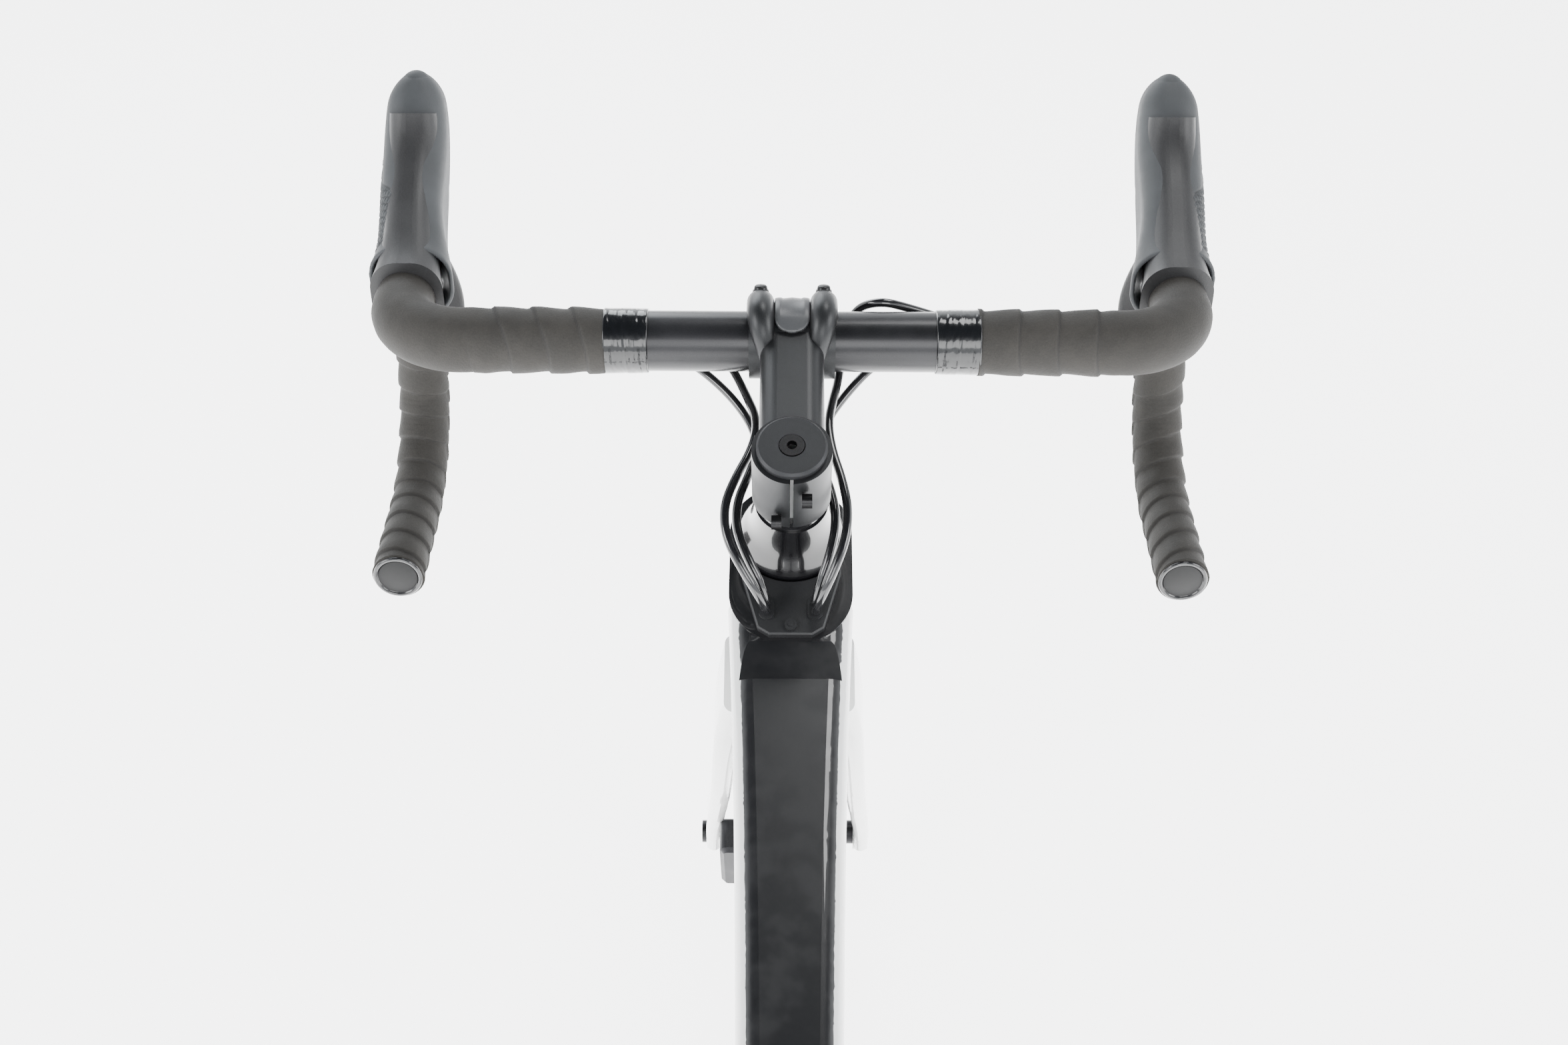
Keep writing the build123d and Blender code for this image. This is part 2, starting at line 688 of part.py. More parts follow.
def hood_sections(side, inset=0.0, share=1.0):
    """Sections of one lever body from the bar out to the tip of its horn."""
    steps = (
        (44.0, 0.0, 47.0, 46.0, 0.0, 4.0),
        (70.0, -6.0, 38.0, 48.0, 1.0, 8.0),
        (100.0, -18.0, 35.0, 50.0, 3.0, 22.0),
        (128.0, -38.0, 36.0, 42.0, 4.0, 42.0),
        (146.0, -62.0, 33.0, 34.0, 5.0, 66.0),
        (151.0, -78.0, 24.0, 24.0, 5.0, 78.0),
    )
    sections = []
    for forward, down, width, height, shift, turn in steps:
        heading = bar_forward * cos(radians(turn)) - bar_down * sin(radians(turn))
        middle = bar_point(side * (bar_half_width + shift), forward, down)
        plane = Plane(origin=middle, x_dir=(1, 0, 0), z_dir=heading)
        corner = min(width, height) * 0.42
        sections.append(rounded(plane, width - 2 * inset, height - 2 * inset, corner - inset))
    return sections


pivot_forward = 132.0
pivot_down = -10.0
pin_radius = 2.5


def lever_pivot(side):
    """Where one brake lever's pivot pin crosses the lever body."""
    return bar_point(side * (bar_half_width + 4), pivot_forward, pivot_down)


with BuildPart() as lever_pocket:
    with Locations(side_plane(bar_point(0, pivot_forward + 12, pivot_down + 20))):
        Box(44, 64, 1000, rotation=(0, 0, -12))

brackets = []
for name, side in (("left", -1), ("right", 1)):
    with BuildPart() as tape_room:
        add(bar_tube(side, tape_start, tape_outer + 0.1, 0))
    with BuildPart() as bracket:
        loft(sections=hood_sections(side, hood_skin + 0.6)[:5])
        add(tape_room.part, mode=Mode.SUBTRACT)
        add(lever_pocket.part, mode=Mode.SUBTRACT)
        with Locations(side_plane(lever_pivot(side))):
            for cheek in (-1, 1):
                with Locations((0, 0, cheek * 11.5)):
                    Cylinder(8.0, 4.0)
            Cylinder(pin_radius, 27.0)
        split(bisect_by=Plane(origin=bar_point(0, 46, 0), x_dir=(1, 0, 0), z_dir=bar_forward))
    bracket_piece = bracket.part.solids().sort_by(SortBy.VOLUME)[-1]
    with BuildPart() as hood:
        loft(sections=hood_sections(side))
        loft(sections=hood_sections(side, hood_skin)[:5], mode=Mode.SUBTRACT)
        add(tape_room.part, mode=Mode.SUBTRACT)
        add(lever_pocket.part, mode=Mode.SUBTRACT)
        add(bracket_piece, mode=Mode.SUBTRACT)
    hood_piece = hood.part.solids().sort_by(SortBy.VOLUME)[-1]
    brackets.append(bracket_piece)
    finish(hood_piece, f"hood_{name}")
finish(Compound(brackets), "lever_brackets")

# each brake blade turns on its pin; the shift paddle hangs behind it on its own pin
paddle_forward = pivot_forward + 4
paddle_down = pivot_down + 20
for name, side in (("left", -1), ("right", 1)):
    lever_x = side * (bar_half_width + 4)
    blade_route = (
        bar_point(lever_x, pivot_forward + 4, pivot_down + 4),
        bar_point(lever_x, pivot_forward + 15, pivot_down + 26),
        bar_point(lever_x + side * 2, pivot_forward + 18, pivot_down + 58),
        bar_point(lever_x + side * 4, pivot_forward + 12, pivot_down + 92),
        bar_point(lever_x + side * 7, pivot_forward + 4, pivot_down + 122),
    )
    with BuildPart() as brake_lever:
        loft(sections=bar(blade_route, (16, 17, 15, 13, 11), (11, 9, 8, 8, 8), 3.5))
        with Locations(side_plane(lever_pivot(side))):
            Cylinder(6.5, 18.4)
            Cylinder(pin_radius + fit_gap, 30, mode=Mode.SUBTRACT)
    finish(brake_lever.part, f"brake_lever_{name}")
    paddle_top = bar_point(lever_x - side * 2, paddle_forward - 8, paddle_down)
    paddle_route = (
        paddle_top,
        bar_point(lever_x - side * 6, paddle_forward - 4, paddle_down + 16),
        bar_point(lever_x - side * 9, paddle_forward - 2, paddle_down + 34),
        bar_point(lever_x - side * 11, paddle_forward - 4, paddle_down + 56),
    )
    with BuildPart() as shift_paddle:
        loft(sections=bar(paddle_route, (10, 13, 16, 12), (6, 5, 5, 5), 2.2))
    finish(shift_paddle.part, f"shift_paddle_{name}")

# ---------------------------------------------------------------- brake calipers
caliper_length = 66.0
caliper_outboard = 13.5
caliper_inboard = 7.5
front_rotor_x = -(front_spacing / 2 - rotor_inset)
rear_rotor_x = -(rear_spacing / 2 - rotor_inset)


def caliper(plane, rotor_x, axle, depth):
    """A flat-mount caliper: plane's z leaves the frame, its y runs along the mounting face."""
    width = caliper_inboard + caliper_outboard
    shift = (caliper_inboard - caliper_outboard) / 2
    with BuildPart() as body:
        with BuildSketch(plane) as foot:
            with Locations((shift, 0)):
                RectangleRounded(width, caliper_length, 6)
        extrude(foot.sketch, amount=depth)
        chamfer(body.faces().sort_by(Axis(plane.origin, plane.z_dir))[-1].edges(), 3.0)
        with Locations(side_plane(axle + right * rotor_x)):
            Cylinder(rotor_radius + 3, rotor_thickness + 1.4, mode=Mode.SUBTRACT)
    return body.part


fork_caliper_plane = Plane(
    origin=front_axle + steer_up * 62 - steer_forward * 30.5 + right * front_rotor_x,
    x_dir=(1, 0, 0),
    z_dir=-steer_forward,
)
stay_dir = (bb - rear_axle).normalized()
stay_up = Vector(0, -stay_dir.Z, stay_dir.Y)
stay_caliper_plane = Plane(
    origin=rear_axle + stay_dir * 66 + stay_up * 17.5 + right * rear_rotor_x,
    x_dir=(1, 0, 0),
    z_dir=stay_up,
)
finish(caliper(fork_caliper_plane, front_rotor_x, front_axle, 24), "front_caliper")
finish(caliper(stay_caliper_plane, rear_rotor_x, rear_axle, 36), "rear_caliper")

# ---------------------------------------------------------------- wheels
def wheel_plane(axle, x=0.0):
    """A plane across the wheel at x, seen from the rider's right."""
    return side_plane(axle + right * x)


def turned(axle, points):
    """A ring whose section is given by (x, radius) points, turned about the axle."""
    with BuildPart() as ring:
        with BuildSketch(Plane(origin=axle, x_dir=(1, 0, 0), z_dir=(0, -1, 0))):
            with BuildLine():
                Polyline(*points, close=True)
            make_face()
        revolve(axis=Axis(axle, (1, 0, 0)))
    return ring.part


bead_half = rim_width / 2 - 2.6


def tyre(axle):
    """A hollow tyre, open towards the rim, with its beads between the rim's flanges."""
    middle = wheel_radius - tyre_radius
    seat = rim_outer_radius + 0.1
    with BuildPart() as ring:
        with BuildSketch(Plane(origin=axle, x_dir=(1, 0, 0), z_dir=(0, -1, 0))):
            with Locations((0, middle)):
                Circle(tyre_radius)
            with Locations((0, seat - 30)):
                Rectangle(60, 60, mode=Mode.SUBTRACT)
            with Locations((0, (bead_radius + seat) / 2 + 0.5)):
                Rectangle(2 * bead_half - 0.2, seat - bead_radius + 1)
            with Locations((0, middle)):
                Circle(tyre_radius - 2.2, mode=Mode.SUBTRACT)
            with Locations((0, bead_radius + 3)):
                Rectangle(2 * bead_half - 5.5, 12, mode=Mode.SUBTRACT)
        revolve(axis=Axis(axle, (1, 0, 0)))
    return ring.part


def rim(axle):
    """A deep rim of box section with two flanges for the tyre's beads."""
    half = rim_width / 2
    return turned(
        axle,
        (
            (-half, rim_outer_radius),
            (-bead_half, rim_outer_radius),
            (-bead_half, bead_radius - 2),
            (bead_half, bead_radius - 2),
            (bead_half, rim_outer_radius),
            (half, rim_outer_radius),
            (half + 0.6, rim_inner_radius + 14),
            (5, rim_inner_radius),
            (-5, rim_inner_radius),
            (-half - 0.6, rim_inner_radius + 14),
        ),
    )


def spokes(axle, left_x, right_x):
    """Crossed spokes, by turns to the left and the right flange, leading and trailing."""
    with BuildPart() as laced:
        for index in range(spokes_per_wheel):
            flange_x = (left_x, right_x)[index % 2]
            outward = 1 if flange_x > 0 else -1
            lean = 1 if index % 4 < 2 else -1
            rim_turn = 2 * pi * index / spokes_per_wheel
            hub_turn = rim_turn + lean * radians(52)
            hub_x = flange_x + outward * lean * (flange_thickness / 2 + spoke_radius + 0.1)
            start = axle + Vector(hub_x, flange_radius * sin(hub_turn), flange_radius * cos(hub_turn))
            reach_out = rim_inner_radius - 0.3
            end = axle + Vector(outward * 2.0, reach_out * sin(rim_turn), reach_out * cos(rim_turn))
            with Locations(between(start, end)):
                Cylinder(spoke_radius, (end - start).length, align=bottom_middle)
    return laced.part


def rotor(axle, x):
    """A disc brake rotor: a drilled ring on six arms, held at the hub's left end."""
    with BuildPart() as plate:
        with BuildSketch(wheel_plane(axle, x - rotor_thickness / 2)):
            Circle(rotor_radius)
            Circle(rotor_radius - 15, mode=Mode.SUBTRACT)
            Circle(30)
            with PolarLocations(0, 6):
                with Locations((48, 0)):
                    Rectangle(50, 7)
            Circle(16.6, mode=Mode.SUBTRACT)
            with PolarLocations(rotor_radius - 7.5, 18):
                Circle(3.2, mode=Mode.SUBTRACT)
        extrude(amount=rotor_thickness)
    return plate.part


def hub(axle, half, left_x, right_x, rotor_x):
    """A hub shell turned from bar: flanges, waist, rotor seat and end caps."""
    rim_edge = flange_radius + 1.0
    web = flange_thickness / 2
    bore = axle_radius + fit_gap
    seat = 16.5
    lip = rotor_x + rotor_thickness / 2
    return turned(
        axle,
        (
            (-half + 0.1, bore),
            (-half + 0.1, 9.5),
            (rotor_x - 4, 9.5),
            (rotor_x - 4, seat),
            (lip + 0.05, seat),
            (lip + 0.05, 20.0),
            (left_x - web, 20.0),
            (left_x - web, rim_edge),
            (left_x + web, rim_edge),
            (left_x + web, 16.0),
            (left_x + 14, hub_radius + 1),
            (right_x - 14, hub_radius + 1),
            (right_x - web, 16.0),
            (right_x - web, rim_edge),
            (right_x + web, rim_edge),
            (right_x + web, 15.0),
            (right_x + web + 3, 9.0),
            (half - 0.1, 9.0),
            (half - 0.1, bore),
        ),
    )


front_flanges = (-24.0, 34.0)
rear_flanges = (-40.0, 19.0)
finish(tyre(front_axle), "front_tyre")
finish(rim(front_axle), "front_rim")
finish(spokes(front_axle, *front_flanges), "front_spokes")
finish(hub(front_axle, front_spacing / 2, *front_flanges, front_rotor_x), "front_hub")
finish(rotor(front_axle, front_rotor_x), "front_rotor")
finish(tyre(rear_axle), "rear_tyre")
finish(rim(rear_axle), "rear_rim")
finish(spokes(rear_axle, *rear_flanges), "rear_spokes")
finish(hub(rear_axle, rear_spacing / 2, *rear_flanges, rear_rotor_x), "rear_hub")
finish(rotor(rear_axle, rear_rotor_x), "rear_rotor")

# ---------------------------------------------------------------- chain path and sprockets
def pitch_radius(teeth):
    """The radius at which a chain's rollers lie on a sprocket."""
    return pitch / (2 * sin(pi / teeth))


def tangent(first, first_radius, second, second_radius, turn_first, turn_second):
    """The two touching points of a run between circles; a turn is 1 clockwise, -1 the other way.

    Points are (forward, up) pairs, and a clockwise circle has the run on its left side.
    """
    gap_y = second[0] - first[0]
    gap_z = second[1] - first[1]
    distance = hypot(gap_y, gap_z)
    heading = atan2(gap_z, gap_y)
    offset = (turn_first * first_radius - turn_second * second_radius) / distance
    side_angle = heading + pi / 2 - asin(offset)
    normal = (cos(side_angle), sin(side_angle))
    start = (first[0] + turn_first * first_radius * normal[0],
             first[1] + turn_first * first_radius * normal[1])
    end = (second[0] + turn_second * second_radius * normal[0],
           second[1] + turn_second * second_radius * normal[1])
    return start, end


big_radius = pitch_radius(big_ring_teeth)
cog_radius = pitch_radius(cog_teeth[driven_cog])
pulley_radius = pitch_radius(pulley_teeth)
guide_angle = radians(8)
guide = (
    rear_axle.Y + guide_distance * sin(guide_angle),
    rear_axle.Z - guide_distance * cos(guide_angle),
)


def chain_circles(angle):
    """Centre, radius and turn of each circle that the chain goes round, in its direction."""
    tension = (guide[0] + cage_length * cos(angle), guide[1] - cage_length * sin(angle))
    return (
        ((bb.Y, bb.Z), big_radius, 1),
        (tension, pulley_radius, 1),
        (guide, pulley_radius, -1),
        ((rear_axle.Y, rear_axle.Z), cog_radius, 1),
    )


def chain_runs(angle):
    """The straight runs between the circles, as pairs of points, in the chain's direction."""
    circles = chain_circles(angle)
    runs = []
    for index, (centre, radius, turn) in enumerate(circles):
        after, after_radius, after_turn = circles[(index + 1) % len(circles)]
        runs.append(tangent(centre, radius, after, after_radius, turn, after_turn))
    return runs


def arc_angle(centre, start, end, turn):
    """How far the chain turns round a circle between two points, and the angle it starts at."""
    first = atan2(start[1] - centre[1], start[0] - centre[0])
    last = atan2(end[1] - centre[1], end[0] - centre[0])
    return ((first - last) * turn) % (2 * pi), first


def chain_length(angle):
    """The length of the chain's middle line."""
    runs = chain_runs(angle)
    total = 0.0
    for index, (centre, radius, turn) in enumerate(chain_circles(angle)):
        total += hypot(runs[index][1][0] - runs[index][0][0], runs[index][1][1] - runs[index][0][1])
        total += radius * arc_angle(centre, runs[index - 1][1], runs[index][0], turn)[0]
    return total


# the cage swings until the chain is a whole even number of pitches long
links = 2 * round(chain_length(radians(cage_angle)) / pitch / 2)
low_angle = radians(cage_angle - 25)
high_angle = radians(cage_angle + 25)
for _ in range(50):
    middle_angle = (low_angle + high_angle) / 2
    if chain_length(middle_angle) > links * pitch:
        high_angle = middle_angle
    else:
        low_angle = middle_angle
cage_turn = (low_angle + high_angle) / 2
circles = chain_circles(cage_turn)
runs = chain_runs(cage_turn)
tension = circles[1][0]
print(f"chain: {links} links, {chain_length(cage_turn) / pitch:.3f} pitches, cage {degrees(cage_turn):.2f}")



def toothed(plane, teeth, thickness, hole, phase):
    """A sprocket with a seat for a roller at the angle phase from the plane's x."""
    seat_radius = pitch_radius(teeth)
    with BuildPart() as wheel:
        with BuildSketch(plane.offset(-thickness / 2)):
            Circle(seat_radius + 3.4)
            with PolarLocations(seat_radius + 0.9, teeth, start_angle=degrees(phase)):
                SlotOverall(2 * roller_radius + 2.2, 2 * roller_radius + 0.3, mode=Mode.SUBTRACT)
            Circle(hole, mode=Mode.SUBTRACT)
        extrude(amount=thickness)
    return wheel.part


# the first roller sits where the chain leaves the big ring, and the others follow at one pitch
ring_seat = atan2(runs[0][0][1] - bb.Z, runs[0][0][0] - bb.Y)
travelled = 0.0
seats = []
for index, (centre, radius, turn) in enumerate(circles):
    sweep_angle, first_angle = arc_angle(centre, runs[index - 1][1], runs[index][0], turn)
    if index > 0:
        travelled += radius * sweep_angle
        lag = (travelled % pitch) / radius
        seats.append(first_angle - turn * (sweep_angle - lag))
    travelled += hypot(
        runs[index][1][0] - runs[index][0][0], runs[index][1][1] - runs[index][0][1]
    )
tension_seat, guide_seat, cog_seat = seats

with BuildPart() as chainrings:
    add(toothed(wheel_plane(bb, chainline), big_ring_teeth, ring_thickness, big_radius - 16, ring_seat))
    small_ring_radius = pitch_radius(small_ring_teeth)
    inner = wheel_plane(bb, chainline - ring_spacing)
    add(toothed(inner, small_ring_teeth, ring_thickness, small_ring_radius - 14, 0.0))
finish(chainrings.part, "chainrings")

cassette_bore = 9.0 + fit_gap
with BuildPart() as cassette:
    for index, teeth in enumerate(cog_teeth):
        cog_x = chainline + (driven_cog - index) * cog_spacing
        phase = cog_seat if index == driven_cog else 0.0
        add(toothed(wheel_plane(rear_axle, cog_x), teeth, cog_thickness, 16.0, phase))
    body_start = rear_flanges[1] + flange_thickness / 2 + 3.3
    body_end = chainline + driven_cog * cog_spacing + cog_thickness / 2
    body = wheel_plane(rear_axle, body_start)
    extrude(disc(body, 17.0, cassette_bore), body_end - body_start)
finish(cassette.part, "cassette")

# the chain as two bands of side plates along its middle line
band_height = 8.2
band_gap = 1.45
band_thickness = 1.0


def chain_outline(plane, grow):
    """The area inside the chain's middle line, grown or shrunk by an offset."""
    with BuildSketch(plane) as area:
        with BuildLine():
            for index, (centre, radius, turn) in enumerate(circles):
                sweep_angle, first_angle = arc_angle(centre, runs[index - 1][1], runs[index][0], turn)
                half = first_angle - turn * sweep_angle / 2
                middle = (centre[0] + radius * cos(half), centre[1] + radius * sin(half))
                ThreePointArc(runs[index - 1][1], middle, runs[index][0])
                Line(runs[index][0], runs[index][1])
        make_face()
        offset(amount=grow)
    return area.sketch


with BuildPart() as chain:
    for side in (-1, 1):
        near = chainline + side * band_gap - (band_thickness if side < 0 else 0)
        level = Plane(origin=(near, 0, 0), x_dir=(0, 1, 0), z_dir=(1, 0, 0))
        band = chain_outline(level, band_height / 2) - chain_outline(level, -band_height / 2)
        extrude(band, amount=band_thickness)
finish(chain.part, "chain")

# ---------------------------------------------------------------- cranks and pedals
crank_end = {1: bb + Vector(arm_plane, crank_length, 0), -1: bb + Vector(-arm_plane, -crank_length, 0)}
pedal_bore = 7.0
with BuildPart() as crank_arms:
    for side in (-1, 1):
        inner_face = bb + right * side * (bb_shell_width / 2 + 3.4)
        with Locations(Plane(origin=inner_face, z_dir=(side, 0, 0))):
            boss_depth = arm_plane + arm_thickness / 2 - bb_shell_width / 2 - 3.4
            Cylinder(17.0, boss_depth, align=bottom_middle)
        arm_points = (
            bb + Vector(side * arm_plane, 0, 0),
            bb + Vector(side * arm_plane, side * crank_length * 0.5, 0),
            bb + Vector(side * arm_plane, side * crank_length, 0),
        )
        loft(sections=bar(arm_points, (arm_thickness, arm_thickness, arm_thickness), (34, 28, 24), 5))
        with Locations(side_plane(crank_end[side])):
            Cylinder(14.0, arm_thickness)
            Cylinder(pedal_bore + fit_gap, arm_thickness + 2, mode=Mode.SUBTRACT)
    spider = wheel_plane(bb, chainline - ring_spacing + ring_thickness / 2 + 0.1)
    spider_depth = ring_spacing - ring_thickness - 0.2
    with BuildSketch(spider):
        with PolarLocations(0, 4, start_angle=45):
            with Locations((small_ring_radius / 2 + 8, 0)):
                Rectangle(small_ring_radius + 10, 18)
        Circle(bb_shell_radius + 6, mode=Mode.SUBTRACT)
    extrude(amount=spider_depth)
    with BuildSketch(spider.offset(spider_depth)):
        Circle(24)
        with PolarLocations(0, 4, start_angle=45):
            with Locations((22, 0)):
                Rectangle(44, 18)
    extrude(amount=5)
    with Locations(wheel_plane(bb)):
        Cylinder(bb_shell_radius + 1, bb_shell_width + 6.8, mode=Mode.SUBTRACT)
        Cylinder(spindle_radius, 2 * arm_plane)
        Cylinder(spindle_radius - 3, 2 * arm_plane + 40, mode=Mode.SUBTRACT)
finish(crank_arms.part, "crank_arms")

for name, side in (("left", -1), ("right", 1)):
    with BuildPart() as pedal:
        inner_end = crank_end[side] - right * side * arm_thickness / 2
        with Locations(Plane(origin=inner_end, z_dir=(side, 0, 0))):
            Cylinder(pedal_bore, arm_thickness + 16, align=bottom_middle)
        centre = crank_end[side] + right * side * (arm_thickness / 2 + 48)
        with BuildSketch(Plane(origin=centre - Vector(0, 0, 7), x_dir=(1, 0, 0), z_dir=(0, 0, 1))):
            with BuildLine():
                Polyline(
                    (-side * 34, -20),
                    (-side * 34, 22),
                    (-side * 8, 46),
                    (side * 22, 46),
                    (side * 34, 30),
                    (side * 34, -26),
                    (side * 16, -42),
                    (-side * 16, -42),
                    close=True,
                )
            make_face()
        extrude(amount=14)
        fillet(pedal.edges().filter_by(Axis.Z), 4)
    finish(pedal.part, f"pedal_{name}")

# ---------------------------------------------------------------- front derailleur
cage_radius = big_radius + 6.0
with BuildPart() as front_derailleur_mount:
    clamp_height = (big_radius + 34) / seat_up.Z
    extrude(disc(along(bb + seat_up * clamp_height, seat_up), seat_tube_radius + 2.5, seat_tube_radius + fit_gap), 14)
    with Locations(along(bb + seat_up * clamp_height + Vector(24, 2, 0), seat_up)):
        Box(14, 26, 30, align=bottom_middle)
    with Locations(along(bb + seat_up * (clamp_height - 1), seat_up)):
        Cylinder(seat_tube_radius + fit_gap, 34, align=bottom_middle, mode=Mode.SUBTRACT)
finish(front_derailleur_mount.part, "front_derailleur_mount")

cage_start = radians(68)
cage_end = radians(106)
with BuildPart() as front_derailleur_cage:
    for plate_x, thickness in ((chainline + 5.0, 1.4), (chainline - 7.6, 1.6)):
        with BuildSketch(wheel_plane(bb, plate_x)):
            with BuildLine():
                outer_radius = cage_radius + 16
                inner_radius = cage_radius if plate_x > chainline else cage_radius - 10
                middle = (cage_start + cage_end) / 2
                outer = [(outer_radius * cos(a), outer_radius * sin(a)) for a in (cage_start, middle, cage_end)]
                lower = [(inner_radius * cos(a), inner_radius * sin(a)) for a in (cage_start, middle, cage_end)]
                ThreePointArc(*outer)
                Line(outer[2], lower[2])
                ThreePointArc(*reversed(lower))
                Line(lower[0], outer[0])
            make_face()
        extrude(amount=thickness)
    for angle in (cage_start + 0.04, cage_end - 0.04):
        bridge = bb + Vector(chainline - 7, (cage_radius + 13) * cos(angle), (cage_radius + 13) * sin(angle))
        with Locations(side_plane(bridge)):
            Cylinder(2.0, 12.5, align=bottom_middle)
finish(front_derailleur_cage.part, "front_derailleur_cage")

# ---------------------------------------------------------------- rear derailleur
hanger_bolt = rear_axle + Vector(dropout_x + 4.7, -10, -26)
guide_middle = Vector(chainline, guide[0], guide[1])
tension_middle = Vector(chainline, tension[0], tension[1])
base_pivot = rear_axle + Vector(dropout_x + 10, -2, -48)
knuckle_x = chainline + 26.0
knuckle_pivot = Vector(knuckle_x, guide[0] + 4, guide[1] + 8)
link_vector = knuckle_pivot - base_pivot
link_axis = Vector(0, link_vector.Z, -link_vector.Y).normalized()
eyelet_radius = 6.0
eyelet_length = 16.0
ear_length = 4.0
pin_fit = 0.06


def ears(pivot):
    """The two ears and the pin of a link's hinge, as one body about the pivot."""
    with BuildPart() as fork_end:
        for side in (-1, 1):
            place = pivot + link_axis * side * (eyelet_length / 2 + 0.4)
            with Locations(Plane(origin=place, z_dir=link_axis * side)):
                Cylinder(eyelet_radius, ear_length, align=bottom_middle)
        with Locations(Plane(origin=pivot, z_dir=link_axis)):
            Cylinder(pin_radius, eyelet_length + 2)
    return fork_end.part


def link_room(pivot):
    """The room that a link's round end needs between the ears."""
    with BuildPart() as room:
        with Locations(Plane(origin=pivot, z_dir=link_axis)):
            Cylinder(eyelet_radius + 5, eyelet_length + 0.8)
    return room.part


with BuildPart() as derailleur_base:
    with Locations(side_plane(hanger_bolt)):
        Cylinder(11.0, 15, align=bottom_middle)
    with Locations(side_plane(hanger_bolt - right * 9.2)):
        Cylinder(4.0, 12, align=bottom_middle)
    arm_mid = (hanger_bolt + right * 8 + base_pivot) * 0.5
    with Locations(Plane(origin=arm_mid + Vector(2, 0, 0), x_dir=link_axis, z_dir=(1, 0, 0))):
        Box(eyelet_length + 2 * ear_length + 0.8, 20, 12)
    add(link_room(base_pivot), mode=Mode.SUBTRACT)
    add(ears(base_pivot))
finish(derailleur_base.part, "derailleur_base")

with BuildPart() as derailleur_link:
    for pivot in (base_pivot, knuckle_pivot):
        with Locations(Plane(origin=pivot, z_dir=link_axis)):
            Cylinder(eyelet_radius, eyelet_length)
    middle = (base_pivot + knuckle_pivot) * 0.5
    with Locations(Plane(origin=middle, x_dir=link_vector.normalized(), z_dir=link_axis)):
        Box(link_vector.length - 4, 8, eyelet_length)
    for pivot in (base_pivot, knuckle_pivot):
        with Locations(Plane(origin=pivot, z_dir=link_axis)):
            Cylinder(pin_radius + pin_fit, eyelet_length + 2, mode=Mode.SUBTRACT)
finish(derailleur_link.part, "derailleur_link")

plate_gap = 5.2
plate_thickness = 2.0
with BuildPart() as derailleur_knuckle:
    outer_face = chainline + plate_gap + plate_thickness + 0.6
    hub_point = Vector(outer_face, guide[0], guide[1])
    with Locations(side_plane(hub_point)):
        Cylinder(12.0, 14.0, align=bottom_middle)
    with Locations(side_plane(hub_point - right * (plate_thickness + 0.3))):
        Cylinder(5.0, 10, align=bottom_middle)
    block = Plane(origin=(hub_point + right * 7 + knuckle_pivot) * 0.5, x_dir=link_axis, z_dir=(1, 0, 0))
    with Locations(block):
        Box(eyelet_length + 2 * ear_length + 0.8, 22, 12)
    add(link_room(knuckle_pivot), mode=Mode.SUBTRACT)
    add(ears(knuckle_pivot))
finish(derailleur_knuckle.part, "derailleur_knuckle")

with BuildPart() as derailleur_cage:
    for side in (-1, 1):
        face = chainline + side * plate_gap + (0 if side > 0 else -plate_thickness)
        start = Vector(face, guide[0], guide[1])
        end = Vector(face, tension[0], tension[1])
        middle = (start + end) * 0.5
        lengthwise = (end - start).normalized()
        with BuildSketch(Plane(origin=middle, x_dir=lengthwise, z_dir=(1, 0, 0))):
            SlotCenterToCenter(cage_length, 24)
            with Locations((0, 0)):
                RectangleRounded(cage_length - 34, 11, 5, mode=Mode.SUBTRACT)
            if side > 0:
                with Locations((-cage_length / 2, 0)):
                    Circle(5.0 + fit_gap, mode=Mode.SUBTRACT)
        extrude(amount=plate_thickness)
    with Locations(side_plane(tension_middle - right * plate_gap)):
        Cylinder(2.5, 2 * plate_gap, align=bottom_middle)
    with Locations(side_plane(guide_middle - right * plate_gap)):
        Cylinder(2.5, 2 * plate_gap - 1.0, align=bottom_middle)
finish(derailleur_cage.part, "derailleur_cage")

for name, centre, seat in (("guide", guide_middle, guide_seat), ("tension", tension_middle, tension_seat)):
    with BuildPart() as pulley:
        add(toothed(side_plane(centre), pulley_teeth, 2.0, 2.5 + pin_fit, seat))
        extrude(disc(side_plane(centre - right * 3.6), 8.0, 2.5 + pin_fit), 7.2)
    finish(pulley.part, f"{name}_pulley")

# ---------------------------------------------------------------- seatpost, clamp and saddle
post_insert = 110.0
post_top = 172.0
with BuildPart() as seatpost:
    with Locations(along(seat_top - seat_up * post_insert, seat_up)):
        Cylinder(seatpost_radius, post_insert + post_top, align=bottom_middle)
        Cylinder(seatpost_radius - 2.6, post_insert + post_top - 12, align=bottom_middle, mode=Mode.SUBTRACT)
    cradle = seat_top + seat_up * (post_top + 6)
    with Locations(Plane(origin=cradle + Vector(0, 0, -4), x_dir=(1, 0, 0), z_dir=(0, 0, 1))):
        Box(56, 36, 15)
finish(seatpost.part, "seatpost")

rail_z = cradle.Z + 3.5 + 3.6
rail_x = 22.0
saddle_middle_y = cradle.Y + 12
rail_radius = 3.5


def rail_points(side):
    """Corners of one saddle rail, from its rear socket to its nose socket."""
    return (
        Vector(side * 48, saddle_middle_y - 92, rail_z + 22),
        Vector(side * 30, saddle_middle_y - 62, rail_z + 2),
        Vector(side * rail_x, saddle_middle_y - 38, rail_z),
        Vector(side * rail_x, saddle_middle_y + 44, rail_z),
        Vector(side * 9, saddle_middle_y + 108, rail_z + 24),
    )


